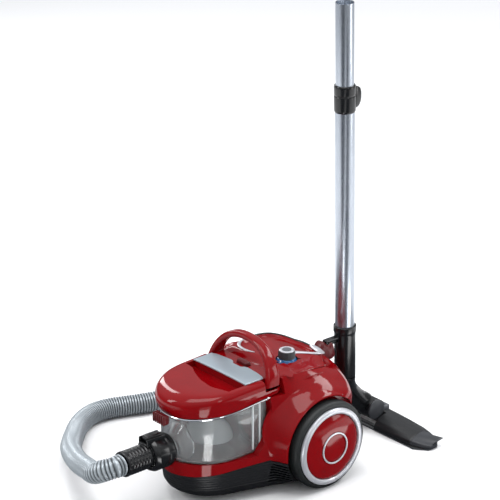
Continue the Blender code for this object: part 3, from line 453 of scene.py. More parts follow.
def make_studio():
    """Wide pale floor whose reflections are painted dark and bright, large soft lights and a bright surround."""
    size = 14.0
    mesh = bpy.data.meshes.new("sweep")
    mesh.from_pydata([(-size, -size, 0), (size, -size, 0), (size, size, 0), (-size, size, 0)], [], [(0, 1, 2, 3)])
    paper = bpy.data.materials.new("white_paper_painted_reflections")
    paper.use_nodes = True
    shader = paper.node_tree.nodes["Principled BSDF"]
    # painted dark reflection: in glossy rays only the floor turns dark grey within 0.6 m and in a wedge
    # ahead of the tube, like black cloth round the set; a white wedge on it, also seen in reflections only, stands at
    # the container's front
    tree = paper.node_tree
    ray = add(tree, "ShaderNodeLightPath")
    place = add(tree, "ShaderNodeTexCoord")
    dark_reflection_mask = inside_wedge(tree, place, (0.0, 0.19, 0.0), (0.757, -0.653, 0.0), 0.62, 0.80, 0.06)
    near = add(tree, "ShaderNodeVectorMath", [(0, place.outputs["Object"])], operation="LENGTH")
    close = add(tree, "ShaderNodeMapRange", [("Value", near.outputs["Value"])], interpolation_type="SMOOTHSTEP")
    for key, value in (("From Min", 0.55), ("From Max", 0.66), ("To Min", 1.0), ("To Max", 0.0)):
        close.inputs[key].default_value = value
    either = add(tree, "ShaderNodeMath", [(0, dark_reflection_mask), (1, close.outputs["Result"])], operation="MAXIMUM")
    # painted highlight: a white wedge at the container's front, seen in glossy rays only
    card = inside_wedge(tree, place, (0.03, -0.17, 0.0), (0.878, -0.479, 0.0), 0.984, 0.988, 0.12)
    bare = add(tree, "ShaderNodeMath", [(0, either.outputs[0]), (1, card)], operation="SUBTRACT")
    bare.use_clamp = True
    dark_reflection_flag = add(tree, "ShaderNodeMath", [(0, ray.outputs["Is Glossy Ray"]), (1, bare.outputs[0])], operation="MULTIPLY")
    tint = add(tree, "ShaderNodeMix", [(0, dark_reflection_flag.outputs[0])], data_type="RGBA")
    tint.inputs[6].default_value = linear("#f6f6f6")
    tint.inputs[7].default_value = linear("#4a4e54")
    tree.links.new(shader.inputs["Base Color"], tint.outputs[2])
    # painted highlights: two patches of the floor glow in glossy rays only and give the strip on the container and the
    # wedge on the wheel cap
    second = inside_wedge(tree, place, (0.27, 0.12, 0.0), (0.75, 0.66, 0.0), 0.86, 0.865, 0.02)
    painted_highlight_masks = add(tree, "ShaderNodeMath", [(0, card), (1, second)], operation="MAXIMUM")
    within = add(tree, "ShaderNodeMath", [(0, painted_highlight_masks.outputs[0]), (1, close.outputs["Result"])], operation="MULTIPLY")
    lit = add(tree, "ShaderNodeMath", [(0, within.outputs[0]), (1, ray.outputs["Is Glossy Ray"])], operation="MULTIPLY")
    painted_highlight_glow = add(tree, "ShaderNodeMath", [(0, lit.outputs[0])], operation="MULTIPLY")
    painted_highlight_glow.inputs[1].default_value = 5.0
    shader.inputs["Emission Color"].default_value = (1.0, 1.0, 1.0, 1.0)
    tree.links.new(shader.inputs["Emission Strength"], painted_highlight_glow.outputs[0])
    shader.inputs["Roughness"].default_value = 0.9
    sweep = bpy.data.objects.new("sweep", mesh)
    mesh.materials.append(paper)
    bpy.context.scene.collection.objects.link(sweep)

    world = bpy.data.worlds.new("studio")
    world.use_nodes = True
    tree = world.node_tree
    sky = add(tree, "ShaderNodeTexCoord")
    split = add(tree, "ShaderNodeSeparateXYZ", [("Vector", sky.outputs["Generated"])])
    ramp = add(tree, "ShaderNodeMapRange", [("Value", split.outputs["Z"])], interpolation_type="SMOOTHSTEP")
    ramp.inputs["From Min"].default_value = 0.0
    ramp.inputs["From Max"].default_value = 0.75
    ramp.inputs["To Min"].default_value = 0.22
    ramp.inputs["To Max"].default_value = 0.85
    tree.links.new(tree.nodes["Background"].inputs["Strength"], ramp.outputs["Result"])
    tree.nodes["Background"].inputs["Color"].default_value = (0.94, 0.96, 1.0, 1.0)
    bpy.context.scene.world = world
    bpy.context.scene.view_settings.view_transform = "Standard"

    # a tall soft box at the front left, strips at the far side and behind, a large one above
    for name, at, size, power in (("key", (-1.5, -2.4, 1.9), (0.7, 1.7), 34.0), ("strip", (-2.2, 0.6, 1.4), (0.35, 1.6), 16.0),
                                  ("back", (0.7, 2.3, 2.5), (1.8, 0.8), 40.0), ("top", (0.3, -0.5, 3.0), (2.0, 1.6), 42.0),
                                  ("fill", (3.4, -0.2, 1.6), (0.5, 1.6), 10.0),
                                  ("card", (1.75, 1.6, 0.62), (0.55, 0.9), 7.0)):
        lamp = bpy.data.lights.new(name, "AREA")
        lamp.shape = "RECTANGLE"
        lamp.size, lamp.size_y = size
        lamp.energy = power
        light = bpy.data.objects.new(name, lamp)
        light.location = at
        light.rotation_euler = (Vector((0, 0, 0.15)) - Vector(at)).to_track_quat("-Z", "Y").to_euler()
        bpy.context.scene.collection.objects.link(light)


def make_camera():
    """Long lens from the front left, looking a little down."""
    turn, down = math.radians(49.2), math.radians(21.9)
    lens = bpy.data.cameras.new("camera")
    lens.lens, lens.sensor_width = 165.6, 36.0
    lens.clip_end = 50.0
    camera = bpy.data.objects.new("camera", lens)
    camera.location = placed((2695.0, -2388.0, 1842.0))
    forward = Vector((-math.sin(turn) * math.cos(down), math.cos(turn) * math.cos(down), -math.sin(down)))
    camera.rotation_euler = forward.to_track_quat("-Z", "Y").to_euler()
    bpy.context.scene.collection.objects.link(camera)
    bpy.context.scene.camera = camera


# ---------------------------------------------------------------- hose

HOSE_R = 19.0
HOSE_Z = 103.2
RIB_PITCH = 5.0
# the hose's line from the cuff, round the far side, to the hand grip
HOSE_ROUTE = [
    (0, -341.2, 103.2), (0, -348, 103.2), (-2, -357, 102), (-14, -369, 96), (-34, -372, 86), (-68, -361, 77),
    (-104, -348, 67), (-142, -330, 56), (-178, -311, 47), (-212, -289, 38), (-241, -265, 30), (-268, -240, 24),
    (-293, -215, 20), (-313, -187, 19), (-324, -157, 19), (-323, -125, 19), (-312, -93, 19), (-299, -62, 19),
    (-287, -25, 19), (-283, 15, 19), (-289, 58, 19), (-303, 100, 19), (-321, 145, 19), (-331, 190, 19),
    (-322, 237, 19), (-292, 273, 19), (-250, 286, 19), (-208, 269, 19), (-184, 230, 19), (-179, 185, 20),
    (-180, 145, 22), (-180, 120, 22), (-180, 98, 22),
]
GRIP_ROUTE = [(-180, 97.6, 22), (-180, 60, 22), (-182, 10, 22), (-187, -40, 22), (-197, -86, 22)]


def make_hose():
    """Ribbed hose: radius along the path is the wall's radius less a groove that follows a
    rounded cosine of the distance, one groove each rib pitch."""
    path, run = even(through(HOSE_ROUTE, 12), RIB_PITCH / 6)
    phase = 2 * math.pi * run / RIB_PITCH
    groove = (0.5 - 0.5 * np.cos(phase)) ** 0.6
    radius = HOSE_R - 0.35 - 2.6 * (1 - groove)
    rings = sweep_rings(path, radius, 40)
    mesh = loft_mesh("hose_ribbed", rings, angle=60)
    # groove depth per point: the hose finish paints shade into the grooves from it
    depth = mesh.attributes.new("groove", "FLOAT", "POINT")
    depth.data.foreach_set("value", np.repeat(1 - groove, 40)[:len(mesh.vertices)].astype(np.float32))
    hose = show("hose_ribbed", mesh, HOSE_EVA, "cleaner_body", "hose")

    line, along = even(through(GRIP_ROUTE, 16), 1.5)
    length = along[-1]
    # a collar on the hose, a slim waist, and a swell towards the open end
    share = along / length
    radius = 17.0 - 2.2 * np.exp(-((share - 0.42) / 0.22) ** 2) + 0.35 * np.sin(2 * math.pi * along / 4) * (share < 0.16)
    radius = np.where(share > 0.93, 16.9, radius)
    outer = sweep_rings(line, radius, 48)
    inner = sweep_rings(line, np.full(len(line), 12.8), 48)
    deep = int(0.25 * len(line))
    rings = np.concatenate([outer, inner[-1:-deep:-1]])
    grip = show("hand_grip_moulded", loft_mesh("hand_grip_moulded", rings), BLACK_ABS, "cleaner_body", "hand_grip")


# ---------------------------------------------------------------- wheels

def make_wheels():
    """Tyre, silver ring, domed cap with its ring, all turned about the axle."""
    for side, sign in (("left", 1), ("right", -1)):
        body = "wheel_" + side
        at, along = (0, 0, WHEEL_R), (sign, 0, 0)
        tyre = [(70, 138), (73.5, 138), (76.6, 136.2), (78.2, 133), (78.45, 129), (78.45, 123), (78, 118), (76, 114.5),
                (68.2, 113), (68.2, 137)]
        show("tyre_" + side + "_moulded", turned_mesh("tyre", tyre, at, along, 144, 0.5), TYRE_TPE, body, "tyre_" + side)
        ring = [(59.2, 142.6), (60.4, 144.0), (64, 144.6), (67.4, 143.6), (69.1, 141.6), (69.1, 138.4), (67.8, 137),
                (67.8, 113.5), (59.2, 113.5)]
        show("rim_ring_" + side + "_lacquered", turned_mesh("ring", ring, at, along, 144, 0.5), SILVER_PAINT, body,
             "rim_ring_" + side)
        radius = np.linspace(30, 57.5, 12)
        # the dish falls away from the centre as the square of the distance
        dish = [(r, 148.2 - 6.6 * ((r - 30) / 27.5) ** 1.7) for r in radius]
        cap = ([(0, 148.35), (20, 148.35), (24.5, 148.0)] + [(25.2, 147.2), (28.4, 147.2)] + [(29.0, 148.3)] + dish
               + [(58.7, 140.2), (58.8, 116), (55, 116), (54, 136), (12, 138), (12, 113), (6.3, 113), (6.3, 136), (0, 136)])
        show("hub_cap_" + side + "_domed", turned_mesh("cap", cap, at, along, 144, 0.3), RED_ABS, body, "hub_cap_" + side)
        light = [(25.4, 149.9), (26.0, 150.4), (27.8, 150.4), (28.4, 149.9), (28.4, 148.7), (25.4, 148.7)]
        show("hub_ring_" + side + "_turned", turned_mesh("light", light, at, along, 120, 0.2), SILVER_PAINT, body,
             "hub_ring_" + side)


# ---------------------------------------------------------------- body

# Half outlines, (y, x) from the nose to the tail, of the red body at rising heights.
NOSE = [(-240, 0), (-234, 26), (-218, 50), (-190, 69), (-155, 80)]
BELT = NOSE + [(-118, 92), (-88, 102), (-50, 117), (-10, 127), (32, 127), (74, 106), (100, 74), (114, 38), (118, 0)]
SILL = NOSE + [(-118, 89), (-88, 98), (-50, 114), (-10, 128), (32, 128), (74, 107), (101, 74), (114, 38), (118, 0)]
HIP = NOSE + [(-118, 82), (-88, 87), (-50, 108), (-10, 127), (32, 128), (74, 106), (98, 74), (111, 38), (115, 0)]
FENDER = NOSE + [(-118, 80), (-88, 84), (-50, 102), (-10, 124), (32, 126), (73, 106), (94, 74), (107, 38), (111, 0)]
SHOULDER = NOSE + [(-118, 79), (-88, 82), (-50, 92), (-12, 105), (28, 106), (62, 90), (80, 66), (92, 35), (97, 0)]
CREST = NOSE + [(-118, 78), (-88, 80), (-50, 81), (-12, 83), (20, 82), (46, 74), (64, 56), (77, 30), (82, 0)]
WELL_R = 85.0
WELL_IN = 108.0
BASE_Z = 13.0
BAY_FLOOR_Z = 80.0
BAY_REAR_Y = -86.0
STEP_Z = 176.0
LID_REAR_Y = -60.0
LID_TOP_Z = 206.5
CYCLONE_Y = -150.0


def ease(t):
    """0 below 0, 1 above 1, and 3t^2 - 2t^3 between."""
    t = np.clip(t, 0.0, 1.0)
    return t * t * (3 - 2 * t)


def outline(half, count=8, tail=()):
    """Closed plan outline from half of it: a smooth curve through the half's (y, x) points and
    straight corners after it, then the same mirrored."""
    p = np.asarray(half, float)
    front = p[1] * (1, -1)
    rear = 2 * p[-1] - p[-2] if len(tail) else p[-2] * (1, -1)
    chain = np.concatenate([[front], p, [rear]])
    a, b, c, d = chain[:-3, None], chain[1:-2, None], chain[2:-1, None], chain[3:, None]
    t = (np.arange(count) / count)[None, :, None]
    curve = 0.5 * (2 * b + (c - a) * t + (2 * a - 5 * b + 4 * c - d) * t * t + (3 * b - a - 3 * c + d) * t ** 3)
    right = np.concatenate([curve.reshape(-1, 2), p[-1:]] + ([np.asarray(tail, float)] if len(tail) else []))[:, ::-1]
    return np.concatenate([right, (right * (-1, 1))[-2:0:-1]])


def lifted(flat, height):
    """Flat outline at a height, which may be a function of y."""
    z = height(flat[:, 1]) if callable(height) else np.full(len(flat), float(height))
    return np.column_stack([flat, z])


def belt_z(y):
    """Seam between the base and the red body, rising 18 mm towards the wheels."""
    return 56.0 + 18.0 * np.clip((y + 240.0) / 190.0, 0, 1)


def crest_z(y):
    """Upper edge of the red body, falling away behind the knob as a cube."""
    return 203.0 - 22.0 * np.clip((y + 60.0) / 130.0, 0, 1) ** 3


def rim_z(y):
    """Edge between the clear bowl and the lid, rising to the rear."""
    return 161.0 + 0.084 * (y + 240.0)


def body_rings(between=9, grow=0.0):
    """Rings of the red body: a smooth curve up through the outlines at their heights, with the
    fender's bulge round the wheel well added to it."""
    levels = ((BELT, lambda y: belt_z(y) + 0.3), (SILL, 90.0), (HIP, 117.0), (FENDER, 150.0), (SHOULDER, 176.0),
              (CREST, crest_z))
    rings = np.array([lifted(outline(half), level) for half, level in levels])
    flat = through(rings.reshape(len(rings), -1), between).reshape(-1, rings.shape[1], 3)
    x, y, z = flat[..., 0], flat[..., 1], flat[..., 2]
    reach = np.hypot(y - 2.0, z - WHEEL_R)
    bulge = (1 - ease((reach - 92.0) / 16.0)) * ease((y + 62.0) / 26.0) * ease((z - 96.0) / 30.0)
    out = np.sign(x) * ease((np.abs(x) - 60.0) / 30.0)
    flat[..., 0] += out * (grow + 3.2 * bulge)
    flat[..., 2] += 1.6 * bulge * np.abs(out)
    return flat


def side_x(y, z):
    """Half width of the red body at points of its side, read off its rings."""
    rings = body_rings(9)
    size = rings.shape[1]
    right = rings[:, 4:size // 2]
    result = []
    for py, pz in np.atleast_2d(np.stack([y, z], -1)):
        xs = [np.interp(py, ring[:, 1], ring[:, 0]) for ring in right]
        zs = [np.interp(py, ring[:, 1], ring[:, 2]) for ring in right]
        result.append(np.interp(pz, zs, xs))
    return np.array(result)


def well_cutter(sign):
    rings = turned_points([(WELL_R, 0), (WELL_R, 60)], 160, (sign * WELL_IN, 0, WHEEL_R), (0, 1, 0), (sign, 0, 0))
    return loft_mesh("well", rings, triangles=True)


def prism(points, low, high):
    """Straight cutter along X with a (y, z) outline."""
    return loft_mesh("prism", [[(x, y, z) for y, z in points] for x in (high, low)], triangles=True)


def make_main_housing():
    """Red shell: the body's rings, less the container bay, the room inside, the wheel wells
    and the openings for exhaust and pedal."""
    mesh = loft_mesh("main_housing_shell", body_rings(), triangles=True)
    side_view = [(-320, BAY_FLOOR_Z), (-122, BAY_FLOOR_Z), (-92, 116), (BAY_REAR_Y, 124), (BAY_REAR_Y, STEP_Z),
                 (LID_REAR_Y, STEP_Z), (LID_REAR_Y, 320), (-320, 320)]
    mesh = combine(mesh, prism(side_view, -150, 150))
    bay = outline(BOWL_HALF, 8, BOWL_TAIL) * 1.0
    bay = np.column_stack([bay[:, 0] * 1.012, (bay[:, 1] + 150.0) * 1.012 - 150.0])
    mesh = combine(mesh, loft_mesh("bore", [lifted(bay, BAY_FLOOR_Z), lifted(bay, 320)], triangles=True))
    floor = np.column_stack([outline(BELT)[:, 0] * 0.95, outline(BELT)[:, 1] * 0.965 - 2])
    floor[:, 0] = np.clip(floor[:, 0], -104, 104)
    mesh = combine(mesh, loft_mesh("under", [lifted(floor, 40), lifted(floor, BAY_FLOOR_Z - 3)], triangles=True))
    room = []
    front, step = BAY_REAR_Y + 3, LID_REAR_Y + 3
    for half, start, height, limit in ((SILL, front, 60, 104), (HIP, front, 117, 104), (FENDER, front, 150, 104),
                                       (SHOULDER, step, 163, 100), (CREST, step, 173, 104), (CREST, step, 240, 104)):
        ring = outline(half)
        right = ring[:len(ring) // 2 + 1]
        rear = right[right[:, 1] >= -50]
        rear = np.column_stack([np.clip(rear[:, 0] - 3, 0, limit), np.where(rear[:, 1] > 60, rear[:, 1] - 3, rear[:, 1])])
        ahead = dict(half)[-88] - 6.0 + 0.4 * (start - BAY_REAR_Y)
        side = min(rear[0, 0] * 0.9, ahead)
        half_ring = np.concatenate([[(0, start), (side * 0.5, start), (side, start)], rear])
        ring = np.concatenate([half_ring, (half_ring * (-1, 1))[-2:0:-1]])
        room.append(lifted(ring, height))
    mesh = combine(mesh, loft_mesh("room", room, triangles=True))
    for sign in (1, -1):
        mesh = combine(mesh, well_cutter(sign))
        low, high = (18, 62) if sign > 0 else (-62, -18)
        mesh = combine(mesh, loft_mesh("vent", block_rings((low, 40, 153), (high, 140, 174), 4), triangles=True))
    mesh = combine(mesh, loft_mesh("pedal_hole", block_rings((-101, -6, 150), (-83, 34, 215), 3), triangles=True))
    show("main_housing_moulded", mesh, RED_ABS, "cleaner_body", "main_housing")

    for side, sign in (("left", 1), ("right", -1)):
        show("arch_flare_" + side, arch_flare(sign, 34, 186), RED_ABS, "cleaner_body", ())
        mesh = vent_slots(arch_flare(sign, 187, 213, 2.0), sign)
        show("pan_flare_" + side, mesh, BLACK_PP, "cleaner_body", ())


def arch_flare(sign, start, end, inset=0.0):
    """Flare over the tyre: at each angle of the wheel a section that leaves the body's side on
    an eased curve and ends in a rounded lip just clear of the tread."""
    angle = np.radians(np.linspace(start, end, max(12, int((end - start) * 0.8))))
    y, z = np.cos(angle), np.sin(angle)
    start_r = 116.0 - 11.0 * ease((angle - 2.5) / 0.7)
    base = side_x(y * start_r, np.clip(WHEEL_R + z * start_r, 76, 190)) - 1.5 - inset
    share = np.linspace(0, 1, 12)
    # the flare narrows towards the ground and fades out behind the wheel
    width = 27.0 - 11.0 * ease((angle - 2.5) / 0.7)
    shown = ease((angle - 0.62) / 0.55)
    reach = np.concatenate([share ** 1.7, [1.03, 1.02, 0.9, 0.4, 0.0, 0.0]])
    x = base[:, None] + (np.maximum(125.2 - base, 0.5) * shown)[:, None] * reach[None, :]
    x[:, -2:] -= 4.0
    fall = np.concatenate([np.broadcast_to(share, (len(y), 12)) * (width[:, None] - 0.0), np.tile([1.6, 3.0, 3.4, 3.4, 3.4, -10.0], (len(y), 1))], 1)
    fall[:, 12:] += width[:, None]
    radius = 89.0 + width[:, None] - fall
    rings = np.stack([sign * x, y[:, None] * radius, WHEEL_R + z[:, None] * radius], -1)
    return loft_mesh("flare", rings, triangles=True)


def vent_slots(mesh, sign):
    """Cut the row of air slots ahead of the wheel into a mesh."""
    for row in range(7):
        z = 27.0 + row * 5.4
        low, high = (84, 135) if sign > 0 else (-135, -84)
        slot = block_rings((low, -103 + 0.9 * row, z), (high, -72 - 0.6 * row, z + 2.8), 1.0, 3)
        mesh = combine(mesh, loft_mesh("slot", slot, triangles=True))
    return mesh


def make_base_pan():
    """Black tray: outlines drawn in towards its floor, with fine moulded ribs along its sides
    and vents ahead of the wheels."""
    shares = ((0.80, 0.80, BASE_Z), (0.84, 0.84, BASE_Z), (0.885, 0.89, BASE_Z + 1.8), (0.92, 0.93, BASE_Z + 5.5),
              (0.955, 0.96, BASE_Z + 11), (0.98, 0.98, BASE_Z + 18))
    rings = []
    for y_share, x_share, z in shares:
        flat = outline([(-62 + (y + 62) * y_share, x * x_share) for y, x in BELT])
        rings.append(lifted(flat, z))
    top = lifted(outline(BELT), belt_z)
    steps = 56
    for i in range(1, steps + 1):
        share = i / steps
        ring = rings[5] * (1 - share) + top * share
        # a rib every 4.6 mm of height, 0.5 mm deep, fading at both ends
        depth = 0.55 * (0.5 - 0.5 * np.cos(2 * math.pi * (ring[:, 2] - 30) / 4.6)) ** 2 * (0.0 if share > 0.97 else 1.0)
        away = ring[:, :2] - (0.0, -60.0)
        away /= np.linalg.norm(away, axis=1)[:, None]
        ring = np.column_stack([ring[:, :2] - away * depth[:, None], ring[:, 2]])
        rings.append(ring)
    mesh = loft_mesh("base_pan_shell", rings, triangles=True)
    hollow = []
    for share, z in ((0.80, BASE_Z + 3), (0.93, BASE_Z + 17), (0.965, 100)):
        flat = outline([(-62 + (y + 62) * share, x * share) for y, x in BELT], 4)
        hollow.append(lifted(np.column_stack([np.clip(flat[:, 0], -104, 104), flat[:, 1]]), z))
    mesh = combine(mesh, loft_mesh("hollow", hollow, triangles=True))
    for sign in (1, -1):
        mesh = combine(mesh, well_cutter(sign))
    rings = turned_points([(26, 0), (26, 30)], 64, (0, -165, 0), (1, 0, 0), (0, 0, 1))
    mesh = combine(mesh, loft_mesh("castor_hole", rings, triangles=True))
    for sign in (1, -1):
        mesh = vent_slots(mesh, sign)
    show("base_pan_ribbed", mesh, BLACK_PP, "cleaner_body", "base_pan")


DECK_PLAN = [(-50, 76), (-30, 79.5), (-10, 81.5), (20, 80.5), (45, 72.5), (62.5, 55), (75, 29.5), (80, 0)]
DECK_FRONT = LID_REAR_Y + 0.6
DECK_MIDDLE = np.array([-6.0, 14.0])
KNOB_X, KNOB_Y, SEAT_Z = 38.0, -12.0, 210.2
# lip of the dish, which leaves room for the knob at its front left
DISH = [(50, 57), (34, 68), (8, 73), (-22, 73), (-50, 63), (-66, 40), (-70, 6), (-66, -28), (-52, -43), (-26, -43), (0, -31),
        (15, -10), (24, 14), (44, 34)]


def around(points, count=224):
    """Distance from the deck's middle to an outline, at equal angles round it."""
    p = np.asarray(points, float) - DECK_MIDDLE
    share = np.linspace(0, 1, 60, endpoint=False)[:, None]
    dense = (p[:, None] + (np.roll(p, -1, 0) - p)[:, None] * share).reshape(-1, 2)
    angle = np.arctan2(dense[:, 1], dense[:, 0])
    order = np.argsort(angle)
    turn = np.linspace(-math.pi, math.pi, count, endpoint=False)
    return turn, np.interp(turn, angle[order], np.hypot(*dense.T)[order], period=2 * math.pi)


def softened(radius, times):
    for _ in range(times):
        radius = 0.25 * np.roll(radius, 1) + 0.5 * radius + 0.25 * np.roll(radius, -1)
    return radius


def deck_height(x, y, rise):
    """Height of the deck over the body's crest: a share of its lift, which grows to the rear,
    and level ground round the knob."""
    lift = 8.5 + 7.5 * ease((y + 30.0) / 100.0)
    z = crest_z(y) + 0.3 + lift * rise
    near = 1 - ease((np.hypot(x - KNOB_X, y - KNOB_Y) - 20.0) / 16.0)
    return z + (SEAT_Z - z) * near


def deck_ring(share, rise, drop=0.0):
    """Ring between the deck's edge (share 0) and the dish's lip (1), or within the dish (over 1)."""
    right = outline(DECK_PLAN, 6)
    right = right[:len(right) // 2 + 1]
    edge = np.concatenate([[(0, DECK_FRONT), (40, DECK_FRONT), (72, DECK_FRONT)], right])
    turn, outer = around(np.concatenate([edge, (edge * (-1, 1))[-2:0:-1]]))
    lip = softened(around(DISH)[1], 40)
    radius = outer + (lip - outer) * share if share <= 1 else lip * (2 - share)
    x, y = DECK_MIDDLE[0] + radius * np.cos(turn), DECK_MIDDLE[1] + radius * np.sin(turn)
    return np.column_stack([x, y, deck_height(x, y, rise) - drop])


def knob_bore(radius):
    return loft_mesh("knob_bore", turned_points([(radius, 170), (radius, 250)], 96, (KNOB_X, KNOB_Y, 0), (1, 0, 0), (0, 0, 1)),
                     triangles=True)


def lip_strip(start, end, width, height, outward):
    """Rounded strip that follows the dish's lip between two angles, narrowing at both ends."""
    turn, lip = np.degrees(around(DISH)[0]), softened(around(DISH)[1], 40)
    at = np.arange(start, end + 1, 2.0)
    radius = np.interp(at, turn, lip, period=360) + outward
    at = np.radians(at)
    taper = np.clip(np.minimum(np.arange(len(at)), np.arange(len(at))[::-1]) / 7.0, 0.04, 1) ** 0.5
    round_it = np.linspace(0, 2 * math.pi, 16, endpoint=False)
    across = radius[:, None] + width * taper[:, None] * np.cos(round_it)[None, :]
    x = DECK_MIDDLE[0] + across * np.cos(at)[:, None]
    y = DECK_MIDDLE[1] + across * np.sin(at)[:, None]
    x0, y0 = DECK_MIDDLE[0] + radius * np.cos(at), DECK_MIDDLE[1] + radius * np.sin(at)
    z = deck_height(x0, y0, 1.0)[:, None] + height * np.sin(round_it)[None, :]
    return loft_mesh("strip", np.stack([x, y, z], -1), triangles=True)


def make_top_cover():
    """Deck behind the lid: a crowned shoulder up to the lip of an off-centre dish, a level seat
    for the knob, a silver rim from the knob round the rear corner as painted highlight, and a
    dark strip beyond it as painted shade."""
    keys = [(0, 0, 0), (0.01, 0.05, 0), (0.06, 0.11, 0), (0.14, 0.21, 0), (0.26, 0.39, 0), (0.4, 0.59, 0),
            (0.55, 0.77, 0), (0.7, 0.90, 0), (0.84, 0.97, 0), (0.96, 1.0, 0), (1.0, 1.0, 0.3), (1.03, 1.0, 1.6), (1.06, 1.0, 3.6), (1.10, 1.0, 5.4), (1.16, 1.0, 6.4),
            (1.28, 1.0, 6.8), (1.5, 1.0, 6.6), (1.75, 1.0, 6.2), (1.96, 1.0, 6.0)]
    mesh = loft_mesh("deck", np.array([deck_ring(*key) for key in keys]), triangles=True)
    under = [(0.08, 0, 8), (0.08, 0.0, 0.5), (0.2, 0.2, 0), (0.5, 0.6, 0), (0.9, 0.8, 0), (1.1, 0.9, 7.5), (1.5, 0.9, 8.5), (1.96, 0.9, 8.6)]
    mesh = combine(mesh, loft_mesh("deck_inside", np.array([deck_ring(*key) for key in under]), triangles=True))
    mesh = combine(mesh, knob_bore(19.0))
    show("top_cover_dished", mesh, RED_ABS, "cleaner_body", "top_cover")
    # painted highlight and shade: the dish's lip is silver where it faces the light, near and at the front, and black
    # on its far side
    show("deck_rim_painted_highlight", combine(lip_strip(-30, 84, 6.2, 2.2, 1.8), knob_bore(19.4)), SILVER_PAINT, "cleaner_body", ())
    show("deck_rim_front_painted_highlight", lip_strip(205, 262, 3.0, 1.4, 1.0), SILVER_PAINT, "cleaner_body", ())
    show("deck_rim_painted_shade", lip_strip(78, 200, 2.2, 1.1, 1.0), BLACK_ABS, "cleaner_body", ())


# ---------------------------------------------------------------- dust container and lid

BOWL_HALF = [(-238, 0), (-232.5, 27), (-217, 50), (-192, 68), (-163, 75), (-125, 76), (-96, 76)]
BOWL_TAIL = ((-88, 72), (-88, 36), (-88, 0))
LID_HALF = [(-241, 0), (-235.5, 28), (-219, 52), (-193, 70), (-163, 77.5), (-125, 79), (-96, 80), (-70, 81)]
LID_TAIL = ((-61, 76), (-61, 40), (-61, 0))


def squeezed(flat, side, front, rear=1.0):
    """Lid outline drawn in by a share of its width, of its front half's length and of its rear's."""
    y = flat[:, 1]
    ahead, behind = -150 + (y + 150) * front, -150 + (y + 150) * rear
    return np.column_stack([flat[:, 0] * side, np.where(y < -150, ahead, behind)])


def make_bowl():
    """Clear bowl: outer rings up, over the rim, and inner rings down to its floor."""
    flat = outline(BOWL_HALF, 10, BOWL_TAIL)
    foot = squeezed(flat, 0.96, 0.965)

    def inner(ring, wall):
        return np.column_stack([ring[:, 0] * (1 - wall / 76), -150 + (ring[:, 1] + 150) * (1 - wall / 75)])

    rings = [lifted(squeezed(flat, 0.90, 0.90), 80.3), lifted(foot, 80.3), lifted(squeezed(flat, 0.985, 0.985), 82),
             lifted(flat, 86), lifted(flat, 120), lifted(flat, lambda y: rim_z(y) - 1.2),
             lifted(inner(flat, 0.4), lambda y: rim_z(y) - 0.3), lifted(inner(flat, 1.8), lambda y: rim_z(y) - 0.3),
             lifted(inner(flat, 2.2), lambda y: rim_z(y) - 1.0), lifted(inner(flat, 2.2), 120),
             lifted(inner(flat, 2.2), 87), lifted(inner(flat, 5.2), 83.5), lifted(inner(flat, 8.5), 82.5),
             lifted(inner(flat, 40), 82.5)]
    mesh = loft_mesh("bowl", rings, 30, triangles=True)
    cutter = turned_points([(19, 28), (19, 88)], 80, (0, -172, HOSE_Z), (1, 0, 0), (0, -1, 0))
    mesh = combine(mesh, loft_mesh("inlet_hole", cutter, triangles=True))
    show("container_bowl_clear", mesh, CLEAR_PC, "container", "container_bowl")
    # upright ribs on the bowl's rear half, and the spout with its guide ring
    ribs = []
    for x, y in ((76.0, -106.0), (76.2, -121.0)):
        for sign in (1, -1):
            low, high = sorted((sign * (x - 3.2), sign * (x + 1.2)))
            ribs.append(loft_mesh("rib", block_rings((low, y - 1.6, 88), (high, y + 1.6, rim_z(y) - 1.5), 1.0, 3)))
    show("container_ribs_clear", joined("ribs", ribs), SMOKE_PC, "container", ())
    # the inlet's guide duct: a wide oval mouth inside the bowl that leads the air round the tube
    angle = np.linspace(0, 2 * math.pi, 72, endpoint=False)
    rings = []
    for share in np.linspace(0, 1, 14):
        y = -231 + 16 * share
        wide, tall = 19.5 + 17.0 * share ** 1.6, 19.0 + 10.0 * share ** 1.6
        rings.append(np.column_stack([wide * np.cos(angle), np.full(72, y), HOSE_Z + 3 * share + tall * np.sin(angle)]))
    outer = np.array(rings)
    duct = np.concatenate([outer, (outer * (0.93, 1, 1) + (0, 0, 0.0))[::-1]])
    duct[len(outer):, :, 2] = HOSE_Z + (duct[len(outer):, :, 2] - HOSE_Z) * 0.93
    points = duct.reshape(-1, 3)
    faces = grid_faces(len(duct), 72).tolist()
    ring = np.arange(72)
    last = (len(duct) - 1) * 72
    faces += np.stack([last + ring, last + (ring + 1) % 72, (ring + 1) % 72, ring], -1).tolist()
    mesh = write_mesh("duct", points, faces)
    form = bmesh.new()
    form.from_mesh(mesh)
    bmesh.ops.recalc_face_normals(form, faces=form.faces)
    form.to_mesh(mesh)
    form.free()
    show("inlet_duct_clear", mesh, CLEAR_PC, "container", ())
    spout = [(19.2, 40), (22.2, 40), (22.6, 39.5), (22.6, 34), (24.0, 33), (24.0, 31.5), (22.6, 30.5), (22.6, 1.0), (22.2, 0.6),
             (19.2, 0.6)]
    show("inlet_spout_clear", turned_mesh("spout", spout, (0, -238, HOSE_Z), (0, -1, 0), 80, 0.3), CLEAR_PC, "container",
         "inlet_spout")


